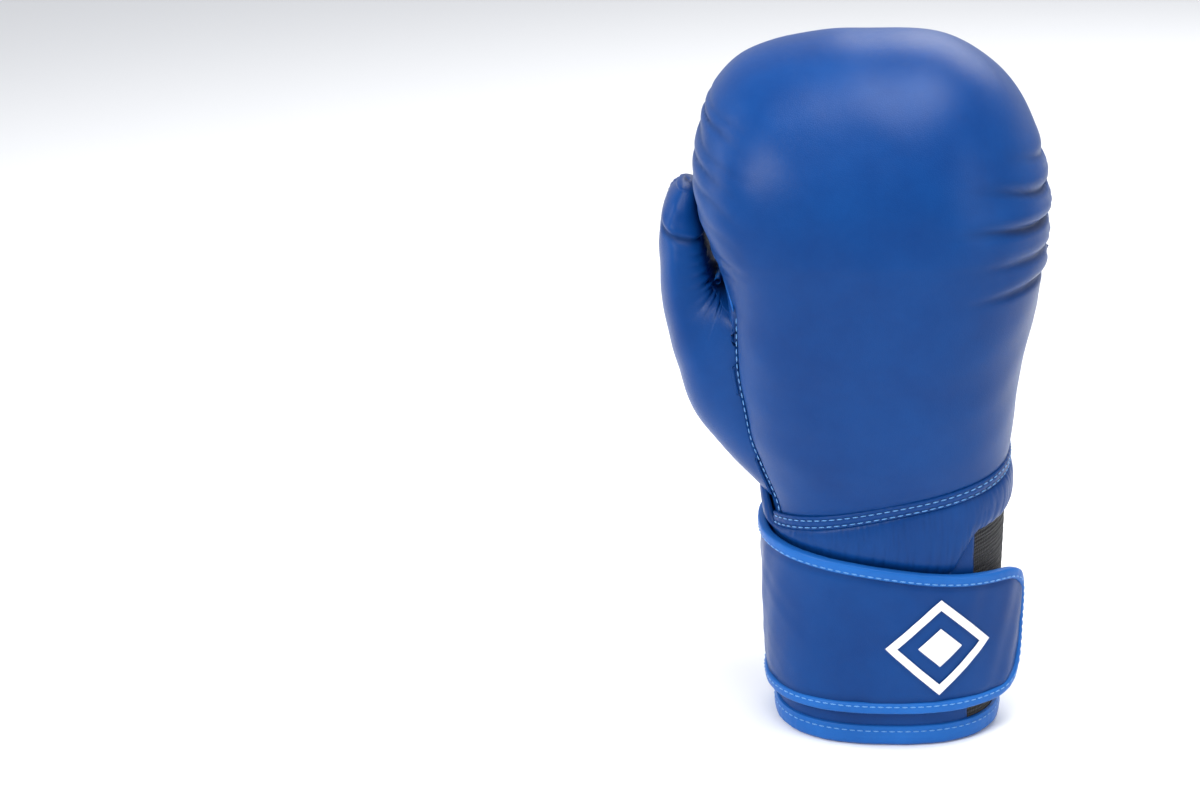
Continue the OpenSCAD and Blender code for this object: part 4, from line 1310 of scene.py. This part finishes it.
if tip_inward[len(tip_points) // 4, 2] > 0:
    tip_inward = -tip_inward
tip_edge = [folded_strip("strap_tip_edge", tip_points, tip_normals, tip_inward, round_profile(4.2, 1.1, 3.2),
                         binding_leather, None, ("tip_edging",), rows=16, pucker=0.1),
            stitch_rows("strap_tip_stitches", [(tip_points + tip_inward * 3.1 + tip_normals * 1.15,
                                                tip_normals)], None)]

for piece in [root_panel, root_backing] + root_edge:
    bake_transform(piece)
for piece in [tip_panel, tip_backing] + tip_edge:
    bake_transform(piece)


def fastener_look(name, scale, strength):
    """Hook or loop tape: a dense dull pile of short black bristles."""
    look = Look(name, Roughness=0.85, Sheen_Weight=0.35)
    at = look.place()
    pile = look.node("ShaderNodeTexVoronoi", Vector=at, Scale=scale)
    fuzz = look.node("ShaderNodeTexNoise", Vector=at, Scale=scale * 1.7, Detail=2.0)
    tone = look.mix(pile, (0.02, 0.02, 0.022), (0.004, 0.004, 0.005))
    return look.feed(Base_Color=tone, Normal=look.bump(pile + fuzz, strength, 0.0009))


for node, look in (("hook_patch", fastener_look("hook_tape", 900.0, 1.0)),
                   ("loop_patch", fastener_look("loop_tape", 500.0, 0.7))):
    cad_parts[node].data.materials.clear()
    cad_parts[node].data.materials.append(look)

# ---- Emblem ---------------------------------------------------------------------------------------
# A plain diamond outline with a small diamond inside it, in white film pressed onto the strap.
white_film = Look("white_film", Coat_Weight=0.2)
film_noise = white_film.node("ShaderNodeTexNoise", Vector=white_film.place(), Scale=260.0, Detail=3.0)
white_film.feed(Base_Color=white_film.mix(film_noise, (0.74, 0.76, 0.78), (0.84, 0.85, 0.86)),
                Roughness=film_noise * 0.2 + 0.3, Normal=white_film.bump(film_noise, 0.2, 0.0002))
emblem_low, emblem_high = (np.array(p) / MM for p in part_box("emblem"))
EMBLEM_MID = (emblem_low[2] + emblem_high[2]) / 2
EMBLEM_A = math.radians(66.5)
EMBLEM_WIDE = math.radians(24)
EMBLEM_TALL = (emblem_high[2] - emblem_low[2]) / 2


def emblem_ring(outer, inner):
    def shape(u, v):
        side, t = np.floor(np.clip(u * 4, 0, 3.9999)), (u * 4) % 1.0
        t = np.where(u >= 1, 1.0, t)
        corner = np.array([(0, 1), (1, 0), (0, -1), (-1, 0), (0, 1)], float)
        k = side.astype(int)
        p = corner[k] * (1 - t)[:, None] + corner[k + 1] * t[:, None]
        r = inner + (outer - inner) * v
        a = EMBLEM_A - p[:, 0] * r * EMBLEM_WIDE
        z = EMBLEM_MID + p[:, 1] * r * EMBLEM_TALL
        soft = 0.32 * wobble(a * 7 + z / 21, 121) + 0.2 * wobble(z / 9 - a * 4, 122)
        return strap_face(z, a, STRAP_OUT) + hand_normal(z, a) * (0.95 + soft)[:, None]
    return shape


emblem_parts = []
for name, outer, inner in (("emblem_outline", 1.0, 0.78), ("emblem_heart", 0.40, 0.0)):
    part = add_piece(name, place_grid(name, 6, 160, emblem_ring(outer, inner), 0.1, 0.004, from_axis,
                                      close=True),
                     white_film.material, "strap_tip", ("emblem",) if outer == 1.0 else (), 0.3,
                     inward=False)
    emblem_parts.append(part)

# ---- Hidden pieces ------------------------------------------------------------------------
# The grip bar is a foam roll inside the fist that the fingers close on. Its CAD solid is kept and
# takes the foam's finish.
bar_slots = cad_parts["grip_bar"].data.materials
bar_slots.clear()
bar_slots.append(soft_foam)
